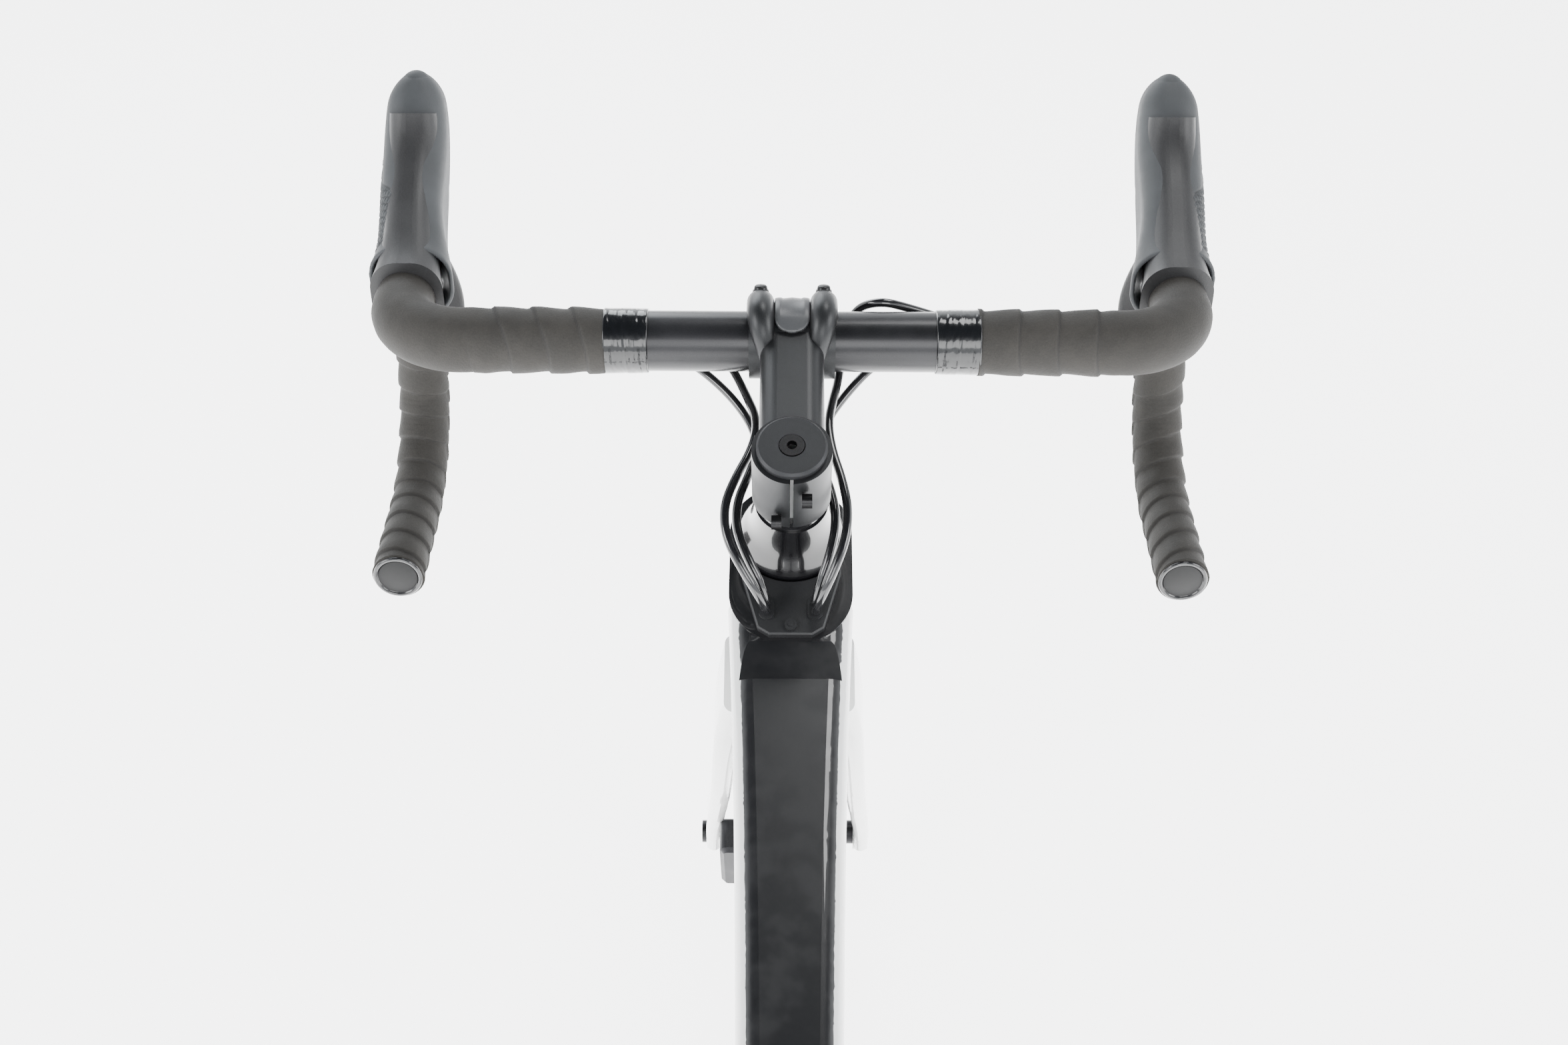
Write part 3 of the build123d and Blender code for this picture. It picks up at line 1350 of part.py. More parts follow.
with BuildPart() as saddle_rails:
    for side in (-1, 1):
        with BuildLine() as rail_line:
            FilletPolyline(*rail_points(side), radius=(16, 16, 40))
        start_plane = Plane(origin=rail_line.wire() @ 0, z_dir=rail_line.wire() % 0)
        sweep(sections=disc(start_plane, rail_radius), path=rail_line.wire())
finish(saddle_rails.part, "saddle_rails")

with BuildPart() as saddle_clamp:
    clamp_centre = Vector(0, cradle.Y, rail_z + 3.0)
    with Locations(Plane(origin=clamp_centre, z_dir=(0, 0, 1))):
        Box(54, 34, 8.4)
    for side in (-1, 1):
        with Locations(Plane(origin=Vector(side * rail_x, cradle.Y, rail_z), z_dir=(0, 1, 0))):
            Cylinder(rail_radius + fit_gap, 40, mode=Mode.SUBTRACT)
        with Locations(Plane(origin=Vector(0, cradle.Y + side * 11, rail_z + 7.3), z_dir=(0, 0, 1))):
            Cylinder(4.0, 3.4, align=bottom_middle)
            Cylinder(2.0, 9, mode=Mode.SUBTRACT)
finish(saddle_clamp.part, "saddle_clamp")


def saddle_sections(bottom, top_extra, grow):
    """Sections of the saddle from the tail to the nose; each is square to the forward axis."""
    steps = (
        (-134.0, 118.0, 16.0, 37.0),
        (-110.0, 143.0, 22.0, 36.0),
        (-60.0, 132.0, 24.0, 33.0),
        (-5.0, 78.0, 24.0, 31.0),
        (50.0, 46.0, 24.0, 31.0),
        (110.0, 36.0, 22.0, 30.0),
        (136.0, 26.0, 14.0, 28.0),
    )
    sections = []
    for forward, width, height, level in steps:
        thick = height * bottom
        middle_z = rail_z + level + top_extra
        plane = Plane(
            origin=(0, saddle_middle_y + forward, middle_z), x_dir=(1, 0, 0), z_dir=(0, 1, 0)
        )
        corner = min(thick * 0.45, width * 0.3)
        sections.append(rounded(plane, width - grow, thick, corner))
    return sections


with BuildPart() as saddle_shell:
    loft(sections=saddle_sections(0.34, -2.0, 8.0))
    add(saddle_rails.part, mode=Mode.SUBTRACT)
finish(saddle_shell.part, "saddle_shell")

with BuildPart() as saddle_cover:
    loft(sections=saddle_sections(0.62, 7.5, 0.0))
    add(saddle_shell.part, mode=Mode.SUBTRACT)
finish(saddle_cover.part, "saddle_cover")

with BuildPart() as seat_clamp:
    collar = along(seat_top - seat_up * 15, seat_up)
    with Locations(collar):
        Cylinder(seat_tube_radius + 3.5, 15, align=bottom_middle)
    with Locations(collar.offset(7.5)):
        with Locations((0, seat_tube_radius + 6, 0)):
            Box(12, 14, 15)
    with Locations(collar):
        Cylinder(seat_tube_radius + fit_gap, 40, mode=Mode.SUBTRACT)
    with Locations(collar.offset(7.5)):
        with Locations((0, seat_tube_radius + 6, 0)):
            Box(1.6, 20, 20, mode=Mode.SUBTRACT)
finish(seat_clamp.part, "seat_clamp")

# ---------------------------------------------------------------- hoses
# each hose leaves the finishing tape, passes the stem and dips into a port behind the steering
# axis; its points are (right, forward, up) from the middle of the handlebar's clamp
hose_top = port_cover_thickness + port_lip + hose_end_gap
hose_points = {
    "right_outer": (
        (61.0, 17.0, 10.5),
        (46.0, 15.5, 15.5),
        (33.0, 21.0, 6.5),
        (27.0, 17.5, -12.5),
        (25.5, 1.0, -23.5),
        (21.5, -19.0, -25.0),
        (19.0, -35.0, -27.0),
        (21.0, -52.5, -31.5),
        (26.0, -70.0, -36.5),
        (29.0, -86.0, -42.5),
        (27.5, -101.5, -50.0),
        (21.5, -113.5, -60.0),
        (15.5, -119.5, -73.0),
    ),
    "right_inner": (
        (59.0, 14.5, -14.5),
        (43.0, 8.0, -21.5),
        (28.5, -8.0, -29.0),
        (18.0, -24.5, -34.5),
        (14.5, -41.0, -37.5),
        (16.5, -57.5, -40.5),
        (21.5, -73.0, -45.5),
        (23.0, -88.0, -51.0),
        (19.5, -102.5, -60.0),
        (14.5, -111.0, -72.0),
    ),
    "left_outer": (
        (-61.0, 18.0, -3.0),
        (-46.0, 18.0, -9.0),
        (-33.0, 8.0, -20.5),
        (-24.0, -12.0, -26.5),
        (-17.5, -32.5, -28.0),
        (-20.5, -51.5, -32.0),
        (-29.0, -69.0, -37.0),
        (-34.5, -85.0, -42.5),
        (-33.0, -100.5, -50.0),
        (-24.5, -112.5, -60.5),
        (-16.0, -118.5, -73.5),
    ),
    "left_inner": (
        (-59.0, 10.5, -17.5),
        (-44.0, 2.0, -24.0),
        (-29.5, -13.5, -29.5),
        (-19.5, -30.0, -35.5),
        (-18.0, -46.0, -38.5),
        (-22.5, -61.5, -42.0),
        (-28.0, -76.0, -47.0),
        (-28.0, -91.0, -53.0),
        (-21.5, -104.0, -62.0),
        (-14.5, -111.5, -73.0),
    ),
}
with BuildPart() as hoses:
    for hose_name, points in hose_points.items():
        side = 1 if "right" in hose_name else -1
        port_n = -port_rear - port_spread if "outer" in hose_name else -port_rear + port_spread
        start = bar_centre + Vector(side * bare_bar_half, *hose_starts[hose_name])
        end = steer_point(port_n, hose_top, side * port_offset)
        corners = [start] + [bar_centre + Vector(*point) for point in points] + [end]
        lengths = [(after - before).length for before, after in zip(corners, corners[1:])]
        bends = []
        for index in range(1, len(corners) - 1):
            incoming = corners[index] - corners[index - 1]
            outgoing = corners[index + 1] - corners[index]
            turn = radians(incoming.get_angle(outgoing))
            shorter = min(lengths[index - 1], lengths[index])
            bends.append(0.45 * shorter / tan(turn / 2))
        with BuildLine() as hose_line:
            FilletPolyline(*corners, radius=bends)
        middle_line = hose_line.wire()
        hose_start = Plane(origin=middle_line @ 0, z_dir=middle_line % 0)
        sweep(sections=disc(hose_start, hose_radius), path=middle_line)
        print(f"{hose_name}: length {middle_line.length:.1f}, smallest radius {min(bends):.1f}")
finish(hoses.part, "hoses")
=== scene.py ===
import math

import bpy
import bmesh
from mathutils import Matrix, Vector, noise


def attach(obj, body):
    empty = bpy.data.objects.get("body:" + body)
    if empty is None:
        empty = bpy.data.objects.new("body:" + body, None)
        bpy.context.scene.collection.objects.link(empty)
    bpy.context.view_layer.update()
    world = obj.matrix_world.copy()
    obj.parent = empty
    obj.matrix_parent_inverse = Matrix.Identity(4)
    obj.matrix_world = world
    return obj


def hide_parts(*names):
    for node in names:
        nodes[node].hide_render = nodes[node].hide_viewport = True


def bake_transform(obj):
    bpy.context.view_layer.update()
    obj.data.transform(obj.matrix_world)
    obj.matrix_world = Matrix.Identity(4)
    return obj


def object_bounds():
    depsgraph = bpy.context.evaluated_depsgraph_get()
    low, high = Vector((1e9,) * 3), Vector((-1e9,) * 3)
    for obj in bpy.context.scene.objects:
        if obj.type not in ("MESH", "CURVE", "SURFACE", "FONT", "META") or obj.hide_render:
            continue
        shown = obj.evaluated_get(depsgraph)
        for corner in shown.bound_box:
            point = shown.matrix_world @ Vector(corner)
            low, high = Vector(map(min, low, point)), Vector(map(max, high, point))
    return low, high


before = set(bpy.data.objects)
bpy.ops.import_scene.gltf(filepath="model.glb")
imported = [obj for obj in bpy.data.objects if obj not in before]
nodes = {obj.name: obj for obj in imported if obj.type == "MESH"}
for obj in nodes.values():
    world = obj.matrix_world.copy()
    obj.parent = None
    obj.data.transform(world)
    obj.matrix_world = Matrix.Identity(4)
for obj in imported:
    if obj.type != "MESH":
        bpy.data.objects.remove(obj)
cad_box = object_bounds()

# ---------------------------------------------------------------- studio
# A bright horizon under a dim ceiling, and five soft panels: one over the
# handlebar and one on each side, all above the level of the bar.
CAMERA_PLACE = (-0.0037, -0.4680, 1.4736)
CAMERA_TILT = 49.7
CAMERA_ROLL = 0.3
CAMERA_LENS = 43.9


def lamp(name, place, aim, size, power, colour=(1, 1, 1)):
    """One soft square panel of light that faces the point aim."""
    light = bpy.data.lights.new(name, "AREA")
    light.shape, light.size, light.energy, light.color = "SQUARE", size, power, colour
    holder = bpy.data.objects.new(name, light)
    bpy.context.collection.objects.link(holder)
    holder.location = place
    holder.rotation_euler = (Vector(aim) - Vector(place)).to_track_quat("-Z", "Y").to_euler()
    return holder


camera = bpy.data.objects.new("camera", bpy.data.cameras.new("camera"))
bpy.context.collection.objects.link(camera)
camera.matrix_world = (
    Matrix.Translation(CAMERA_PLACE)
    @ Matrix.Rotation(math.radians(CAMERA_TILT), 4, "X")
    @ Matrix.Rotation(math.radians(CAMERA_ROLL), 4, "Z")
)
camera.data.lens, camera.data.sensor_width = CAMERA_LENS, 36.0
camera.data.clip_start, camera.data.clip_end = 0.01, 60.0
bpy.context.scene.camera = camera

sky = bpy.data.worlds.new("studio_sky")
bpy.context.scene.world = sky
sky.use_nodes = True
SKY_STOPS = ((0.0, (1.9, 1.95, 2.0)), (0.72, (1.9, 1.95, 2.0)),
             (0.90, (0.14, 0.15, 0.17)), (1.0, (0.07, 0.08, 0.09)))
direction = sky.node_tree.nodes.new("ShaderNodeTexCoord")
parts = sky.node_tree.nodes.new("ShaderNodeSeparateXYZ")
share = sky.node_tree.nodes.new("ShaderNodeMapRange")
shade = sky.node_tree.nodes.new("ShaderNodeValToRGB")
share.inputs["From Min"].default_value = -1.0
while len(shade.color_ramp.elements) < len(SKY_STOPS):
    shade.color_ramp.elements.new(0.5)
for element, (place, colour) in zip(shade.color_ramp.elements, SKY_STOPS):
    element.position, element.color = place, (*colour, 1)
background = sky.node_tree.nodes["Background"]
for source, target in ((direction.outputs["Generated"], parts.inputs[0]),
                       (parts.outputs[2], share.inputs[0]), (share.outputs[0], shade.inputs[0]),
                       (shade.outputs[0], background.inputs["Color"])):
    sky.node_tree.links.new(source, target)
lamp("panel_over", (0.6, 1.3, 3.0), (0, 0.3, 0.9), 0.9, 22)
lamp("panel_front", (-0.9, 2.6, 2.2), (0, 0.3, 0.9), 1.6, 42, (0.93, 0.97, 1.0))
lamp("panel_left", (-2.2, -0.6, 2.2), (0, 0.2, 0.8), 1.3, 40)
lamp("panel_right", (2.3, -0.3, 2.3), (0, 0.2, 0.8), 1.3, 34)
lamp("panel_behind", (0.3, -2.6, 2.4), (0, 0.1, 0.8), 1.5, 34)


# ---------------------------------------------------------------- finishes
# How every finish is put together: sums of texture values written as plain
# Python on wrapped sockets, ending in one coated, grained shader.
class Wire:
    """One output socket of a finish, so that sums on it are written as Python."""

    def __init__(self, finish, socket):
        self.finish, self.socket = finish, socket

    def maths(self, operation, *others):
        return self.finish.add(
            "ShaderNodeMath", {"operation": operation}, dict(enumerate((self,) + others))
        )

    def __add__(self, other):
        return self.maths("ADD", other)

    def __sub__(self, other):
        return self.maths("SUBTRACT", other)

    def __mul__(self, other):
        return self.maths("MULTIPLY", other)

    def __rsub__(self, other):
        return self.finish.add("ShaderNodeMath", {"operation": "SUBTRACT"}, {0: other, 1: self})

    __radd__, __rmul__ = __add__, __mul__

    def step(self, low, high):
        """0 below low, 1 above high and a soft ramp between."""
        return self.finish.add(
            "ShaderNodeMapRange",
            {"interpolation_type": "SMOOTHSTEP"},
            {"Value": self, "From Min": low, "From Max": high},
        )


class Finish:
    """A material in the making."""

    def __init__(self, name, colour, roughness=0.5, metallic=0.0, coat=0.0, coat_roughness=0.03):
        self.material = bpy.data.materials.new(name)
        self.material.use_nodes = True
        self.tree = self.material.node_tree
        self.shader = self.tree.nodes["Principled BSDF"]
        self.set("Base Color", (*colour, 1))
        self.set("Roughness", roughness)
        self.set("Metallic", metallic)
        self.set("Coat Weight", coat)
        self.set("Coat Roughness", coat_roughness)

    def add(self, kind, settings=None, values=None, out=0):
        """Adds one node: its settings first, then its sockets by name or number."""
        node = self.tree.nodes.new(kind)
        for name, value in (settings or {}).items():
            setattr(node, name, value)
        for name, value in (values or {}).items():
            if isinstance(value, Wire):
                self.tree.links.new(value.socket, node.inputs[name])
            else:
                node.inputs[name].default_value = value
        return Wire(self, node.outputs[out])

    def set(self, socket, value):
        if isinstance(value, Wire):
            self.tree.links.new(value.socket, self.shader.inputs[socket])
        else:
            self.shader.inputs[socket].default_value = value
        return self

    def place(self, out=3):
        """Where on the object: 3 is its own coordinates and 1 its outward direction."""
        return self.add("ShaderNodeTexCoord", out=out)

    def axes(self, vector):
        """The three parts of a vector."""
        first = self.add("ShaderNodeSeparateXYZ", values={0: vector})
        return [Wire(self, first.socket.node.outputs[axis]) for axis in range(3)]

    def grain(self, scale, detail=3.0, roughness=0.55, where=None):
        return self.add(
            "ShaderNodeTexNoise",
            values={
                "Vector": where or self.place(),
                "Scale": scale,
                "Detail": detail,
                "Roughness": roughness,
            },
        )

    def mix(self, mask, first, second):
        """A colour between two colours."""
        pair = [c if isinstance(c, Wire) else (*c, 1) for c in (first, second)]
        return self.add(
            "ShaderNodeMix", {"data_type": "RGBA"}, {0: mask, 6: pair[0], 7: pair[1]}, out=2
        )

    def bump(self, height, strength, distance):
        normal = self.add(
            "ShaderNodeBump", values={"Height": height, "Strength": strength, "Distance": distance}
        )
        return self.set("Normal", normal)


def grained(name, colour, roughness, spread=0.25, fine=900.0, depth=0.00004, vary=0.12, **more):
    """A finish whose colour and gloss vary a little and whose skin has a fine grain."""
    finish = Finish(name, colour, **more)
    broad = finish.grain(14.0, 4.0)
    small = finish.grain(fine, 2.0)
    darker = tuple(c * (1 - spread) for c in colour)
    lighter = tuple(min(1.0, c * (1 + spread)) for c in colour)
    finish.set("Base Color", finish.mix((broad * 0.6 + small * 0.4).step(0.3, 0.7), darker, lighter))
    finish.set("Roughness", roughness - vary / 2 + vary * broad.step(0.35, 0.65))
    finish.bump(small, 0.5, depth)
    return finish


def wear(node_names, finish):
    """Gives CAD nodes a finish in all their material slots."""
    for name in node_names:
        for entry in nodes[name].material_slots:
            entry.material = finish.material


# ---------------------------------------------------------------- frame and fork
# Moulded carbon tubes, sprayed white and lacquered. The upper part of the head and
# the upper face of the top tube are gloss black, and a thin dark line runs along
# each side of the top tube.
STEER_UP = Vector((0, -0.3106764, 0.9505157))
STEER_FORWARD = Vector((0, 0.9505157, 0.3106764))
HEAD_TOP = Vector((0, 0.2923106, 0.819))


def steer_point(forward, up, right=0.0):
    """A point measured from the top of the head tube, along and across the steerer."""
    return HEAD_TOP + STEER_FORWARD * forward + STEER_UP * up + Vector((right, 0, 0))


def lacquer(name):
    """White lacquer with faint orange peel and dust."""
    finish = Finish(name, (0.8, 0.8, 0.79), 0.3, coat=1.0, coat_roughness=0.02)
    cloud = finish.grain(6.0, 4.0)
    peel = finish.grain(420.0, 2.0)
    finish.set("Roughness", 0.28 + 0.14 * finish.grain(60.0).step(0.4, 0.7))
    finish.bump(peel, 0.12, 0.00006)
    white = finish.mix(cloud.step(0.3, 0.7), (0.79, 0.79, 0.775), (0.86, 0.865, 0.86))
    return finish, white


white_paint, white = lacquer("white_lacquer")
white_paint.set("Base Color", white)
wear(("seat_tube", "down_tube", "rear_stays", "fork"), white_paint)

top_paint, white = lacquer("black_topped_lacquer")
facing = top_paint.axes(top_paint.place(1))[2]
black_share = facing.step(0.80, 0.82)
edge_line = facing.step(0.10, 0.12) * (1 - facing.step(0.20, 0.22))
two_colours = top_paint.mix(black_share, white, (0.008, 0.008, 0.009))
top_paint.set("Base Color", top_paint.mix(edge_line * 0.9, two_colours, (0.02, 0.02, 0.02)))
wear(("top_tube",), top_paint)

head_paint, white = lacquer("black_headed_lacquer")
depth = head_paint.add(
    "ShaderNodeVectorMath",
    {"operation": "DOT_PRODUCT"},
    {0: head_paint.place(), 1: tuple(STEER_UP)},
    out=1,
) - HEAD_TOP.dot(STEER_UP)
black_share = depth.step(-0.0335, -0.0325)
head_paint.set("Base Color", head_paint.mix(black_share, white, (0.008, 0.008, 0.009)))
wear(("head_tube",), head_paint)

# ---------------------------------------------------------------- metal and resin parts
# Forged and anodised alloy, steel bolts, moulded resin and spun cups: each keeps
# its machined shape and gets the finish that such a part is sold with.
stem_satin = grained("stem_satin", (0.017, 0.018, 0.0195), 0.45, metallic=0.55, coat=0.25,
                     coat_roughness=0.3, fine=2600.0)
bolt_blacking = grained("bolt_blacking", (0.03, 0.03, 0.031), 0.32, spread=0.4, metallic=0.9,
                        fine=2000.0)
FINISHES = (
    (("stem", "stem_faceplate"), stem_satin),
    (("handlebar", "seatpost"), grained("bar_satin", (0.018, 0.018, 0.02), 0.33, spread=0.5,
                                        metallic=0.5, coat=0.3, coat_roughness=0.2, fine=3800.0)),
    (("top_cap",), grained("cap_satin", (0.02, 0.021, 0.023), 0.4, metallic=0.4, fine=3000.0)),
    (("headset_cover",), grained("cover_gloss", (0.006, 0.006, 0.007), 0.2, coat=1.0,
                                 coat_roughness=0.04, fine=1500.0, depth=0.00001)),
    (("cable_port_cover",), grained("shield_matte", (0.011, 0.0115, 0.0125), 0.5, fine=2400.0,
                                    depth=0.00008)),
    (("stem_bolts", "front_thru_axle", "rear_thru_axle"), bolt_blacking),
    (("front_caliper", "rear_caliper", "seat_clamp", "front_derailleur_mount",
      "front_derailleur_cage", "derailleur_base", "derailleur_link", "derailleur_knuckle",
      "derailleur_cage", "bottom_bracket_cups", "front_hub", "rear_hub", "saddle_clamp"),
     grained("anodised_black", (0.02, 0.02, 0.022), 0.38, spread=0.35, metallic=0.7, fine=2200.0)),
    (("crank_arms", "brake_lever_left", "brake_lever_right"),
     grained("lever_gloss", (0.022, 0.022, 0.025), 0.24, spread=0.3, metallic=0.6, coat=0.6,
             coat_roughness=0.08, fine=1800.0)),
    (("chainrings",), grained("ring_satin", (0.04, 0.04, 0.044), 0.36, metallic=0.85, fine=2500.0)),
    (("lever_brackets", "shift_paddle_left", "shift_paddle_right", "saddle_shell", "pedal_left",
      "pedal_right", "guide_pulley", "tension_pulley", "bar_end_plugs"),
     grained("moulded_resin", (0.02, 0.02, 0.021), 0.46, fine=1400.0, depth=0.00006)),
    (("saddle_rails",), grained("rail_coat", (0.03, 0.03, 0.031), 0.35, metallic=0.6)),
    (("headset_bearings",), grained("bearing_steel", (0.5, 0.5, 0.52), 0.2, metallic=1.0)),
    (("cassette", "front_rotor", "rear_rotor", "chain"), grained(
        "brushed_steel", (0.48, 0.48, 0.49), 0.3, metallic=1.0, fine=1600.0)),
    (("front_spokes", "rear_spokes"), grained("spoke_black", (0.03, 0.03, 0.032), 0.3, metallic=0.8)),
)
for names, finish in FINISHES:
    wear(names, finish)

# ---------------------------------------------------------------- wheels
# Deep carbon rims under lacquer, with a plain weave, and slick tyres of black
# rubber with a darker tread, a fine side grain and a shallow file pattern.
AXLES = {"front": (0.0, 0.5, 0.341), "rear": (0.0, -0.5, 0.341)}
for end, axle in AXLES.items():
    rim = Finish(f"{end}_rim_carbon", (0.02, 0.02, 0.022), 0.3, coat=1.0, coat_roughness=0.05)
    weave = rim.add(
        "ShaderNodeTexChecker",
        values={"Vector": rim.place(), "Color1": (0.014, 0.014, 0.015, 1),
                "Color2": (0.032, 0.032, 0.035, 1), "Scale": 520.0},
    )
    rim.set("Base Color", weave)
    rim.set("Roughness", 0.26 + 0.12 * rim.grain(40.0))
    wear((f"{end}_rim",), rim)

    tyre = Finish(f"{end}_tyre_rubber", (0.03, 0.03, 0.03), 0.7)
    away = tyre.add("ShaderNodeVectorMath", {"operation": "SUBTRACT"}, {0: tyre.place(), 1: axle})
    x, y, z = tyre.axes(away)
    reach = (y * y + z * z).maths("SQRT")
    turn = y.maths("ARCTAN2", z)
    tread = reach.step(0.3325, 0.3345)
    rows = (turn * 260.0 + x * 900.0).maths("SINE").step(0.2, 0.6) * tread
    skin = tyre.grain(700.0, 3.0)
    tyre.set("Base Color", tyre.mix(tread, (0.032, 0.031, 0.03), (0.021, 0.021, 0.021)))
    tyre.set("Roughness", 0.62 + 0.2 * skin)
    tyre.bump(skin * 0.3 - rows * 0.7, 0.6, 0.0003)
    wear((f"{end}_tyre",), tyre)

# ---------------------------------------------------------------- hoses
# Four slim hoses with gloss plastic jackets: a brake hose and a gear hose from each
# side of the bar, which leave the tape, bend down past the stem on their own side
# and go into the two ports of the shield on the head tube.
BAR_CENTRE = Vector((0, 0.361365, 0.895259))
HOSE_THICKNESS = 0.0048
HOSES = {
    "right_outer": (0.2377, (0.0757, 0.0186, 0.004), (0.061, 0.017, 0.0105), (0.046, 0.0155, 0.0155),
                    (0.033, 0.021, 0.0065), (0.027, 0.0175, -0.0125), (0.0255, 0.001, -0.0235),
                    (0.0215, -0.019, -0.025), (0.019, -0.035, -0.027), (0.021, -0.0525, -0.0315),
                    (0.026, -0.07, -0.0365), (0.029, -0.086, -0.0425), (0.0275, -0.1015, -0.05),
                    (0.0215, -0.1135, -0.06), (0.0155, -0.1195, -0.073)),
    "right_inner": (0.1885, (0.0757, 0.013, -0.0138), (0.059, 0.0145, -0.0145),
                    (0.043, 0.008, -0.0215), (0.0285, -0.008, -0.029), (0.018, -0.0245, -0.0345),
                    (0.0145, -0.041, -0.0375), (0.0165, -0.0575, -0.0405), (0.0215, -0.073, -0.0455),
                    (0.023, -0.088, -0.051), (0.0195, -0.1025, -0.06), (0.0145, -0.111, -0.072)),
    "left_outer": (0.2146, (-0.0757, 0.0189, 0.0), (-0.061, 0.018, -0.003), (-0.046, 0.018, -0.009),
                   (-0.033, 0.008, -0.0205), (-0.024, -0.012, -0.0265), (-0.0175, -0.0325, -0.028),
                   (-0.0205, -0.0515, -0.032), (-0.029, -0.069, -0.037), (-0.0345, -0.085, -0.0425),
                   (-0.033, -0.1005, -0.05), (-0.0245, -0.1125, -0.0605), (-0.016, -0.1185, -0.0735)),
    "left_inner": (0.1835, (-0.0757, 0.0105, -0.0158), (-0.059, 0.0105, -0.0175),
                   (-0.044, 0.002, -0.024), (-0.0295, -0.0135, -0.0295), (-0.0195, -0.03, -0.0355),
                   (-0.018, -0.046, -0.0385), (-0.0225, -0.0615, -0.042), (-0.028, -0.076, -0.047),
                   (-0.028, -0.091, -0.053), (-0.0215, -0.104, -0.062), (-0.0145, -0.1115, -0.073)),
}
HOSE_END_UP = 0.0066
PORT_REAR, PORT_SPREAD, PORT_OFFSET = 0.0455, 0.0026, 0.0124
hose_jacket = grained("hose_jacket", (0.008, 0.008, 0.009), 0.14, coat=1.0, coat_roughness=0.03,
                      fine=600.0, depth=0.00002, vary=0.06)


def plain_mesh(holder, name):
    """The holder's shape, modifiers and all, as a plain new mesh."""
    shown = holder.evaluated_get(bpy.context.evaluated_depsgraph_get())
    mesh = bpy.data.meshes.new_from_object(shown)
    mesh.name = name
    return mesh


def add_piece(name, mesh, finish, smooth=True):
    """A new object at the origin from a mesh that is already in its place."""
    piece = bpy.data.objects.new(name, mesh)
    bpy.context.collection.objects.link(piece)
    mesh.materials.clear()
    mesh.materials.append(finish.material)
    for face in mesh.polygons:
        face.use_smooth = smooth
    return piece


def discard(holder):
    bpy.data.objects.remove(holder, do_unlink=True)


for hose_name, (hose_length, *route) in HOSES.items():
    side = 1 if "right" in hose_name else -1
    rear = PORT_REAR + PORT_SPREAD if "outer" in hose_name else PORT_REAR - PORT_SPREAD
    corners = [BAR_CENTRE + Vector(corner) for corner in route]
    corners.append(steer_point(-rear, HOSE_END_UP, side * PORT_OFFSET))
    curve = bpy.data.curves.new(f"{hose_name}_line", "CURVE")
    curve.dimensions = "3D"
    spline = curve.splines.new("NURBS")
    spline.points.add(len(corners) - 1)
    for point, corner in zip(spline.points, corners):
        point.co = (*corner, 1)
    spline.order_u = 3
    spline.use_endpoint_u = True
    spline.resolution_u = 12
    line = bpy.data.objects.new(f"{hose_name}_line", curve)
    bpy.context.collection.objects.link(line)
    middle = [list(vertex.co) for vertex in plain_mesh(line, "middle").vertices]
    curve.bevel_depth = HOSE_THICKNESS / 2
    curve.bevel_resolution = 7
    curve.use_fill_caps = True
    hose = add_piece(f"hose_{hose_name}", plain_mesh(line, hose_name), hose_jacket)
    discard(line)
    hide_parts("hoses")
    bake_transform(hose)

# ---------------------------------------------------------------- bar tape
# Two lengths of cushioned cork-rubber tape, wound from the end plugs inwards, so
# that each turn lies over the edge of the last one and steps the outline.
BAR_FORWARD = Vector((0, 0.997564, -0.0697565))
BAR_DOWN = Vector((0, -0.0697565, -0.997564))
BAR_CORNERS = ((0, 0, 0), (0.210, 0, 0), (0.211, 0.080, 0.002), (0.2157, 0.076, 0.126),
               (0.2157, -0.038, 0.128))
BAR_RADII = (0.036, 0.038, 0.058)
TAPE_START, TAPE_STEP, TAPE_AROUND = 0.0972, 0.0008, 56
TAPE_RADIUS, TAPE_LAYER, TAPE_PADDING = 0.01345, 0.00125, 0.0030
TAPE_PITCH, TAPE_PITCH_LESS_ON_DROPS = 0.0203, 0.0034
TAPE_LUMPS, HOSE_RIDGE = 0.00022, 0.0012
BEND_STEPS = 24


def bar_point(right, forward, down):
    return BAR_CENTRE + Vector((right, 0, 0)) + BAR_FORWARD * forward + BAR_DOWN * down


def bent_bar(side):
    """The middle of one half of the bar as fine, even steps of a bent tube."""
    points = [bar_point(side * right, forward, down) for right, forward, down in BAR_CORNERS]
    line = [points[0]]
    for index, radius in enumerate(BAR_RADII, 1):
        before = (points[index - 1] - points[index]).normalized()
        after = (points[index + 1] - points[index]).normalized()
        half = before.angle(after) / 2
        run = radius / math.tan(half)
        centre = points[index] + (before + after).normalized() * (radius / math.sin(half))
        first, last = points[index] + before * run, points[index] + after * run
        start, stop = (first - centre).normalized(), (last - centre).normalized()
        line += [centre + start.slerp(stop, t / BEND_STEPS) * radius for t in range(BEND_STEPS + 1)]
    line.append(points[-1])
    places, travelled = [0.0], 0.0
    for a, b in zip(line, line[1:]):
        travelled += (b - a).length
        places.append(travelled)
    even, index, count = [], 0, int(travelled / TAPE_STEP)
    for number in range(count + 1):
        along = travelled * number / count
        while index < len(places) - 2 and places[index + 1] < along:
            index += 1
        span = places[index + 1] - places[index]
        even.append((along, line[index].lerp(line[index + 1], (along - places[index]) / span)))
    return even


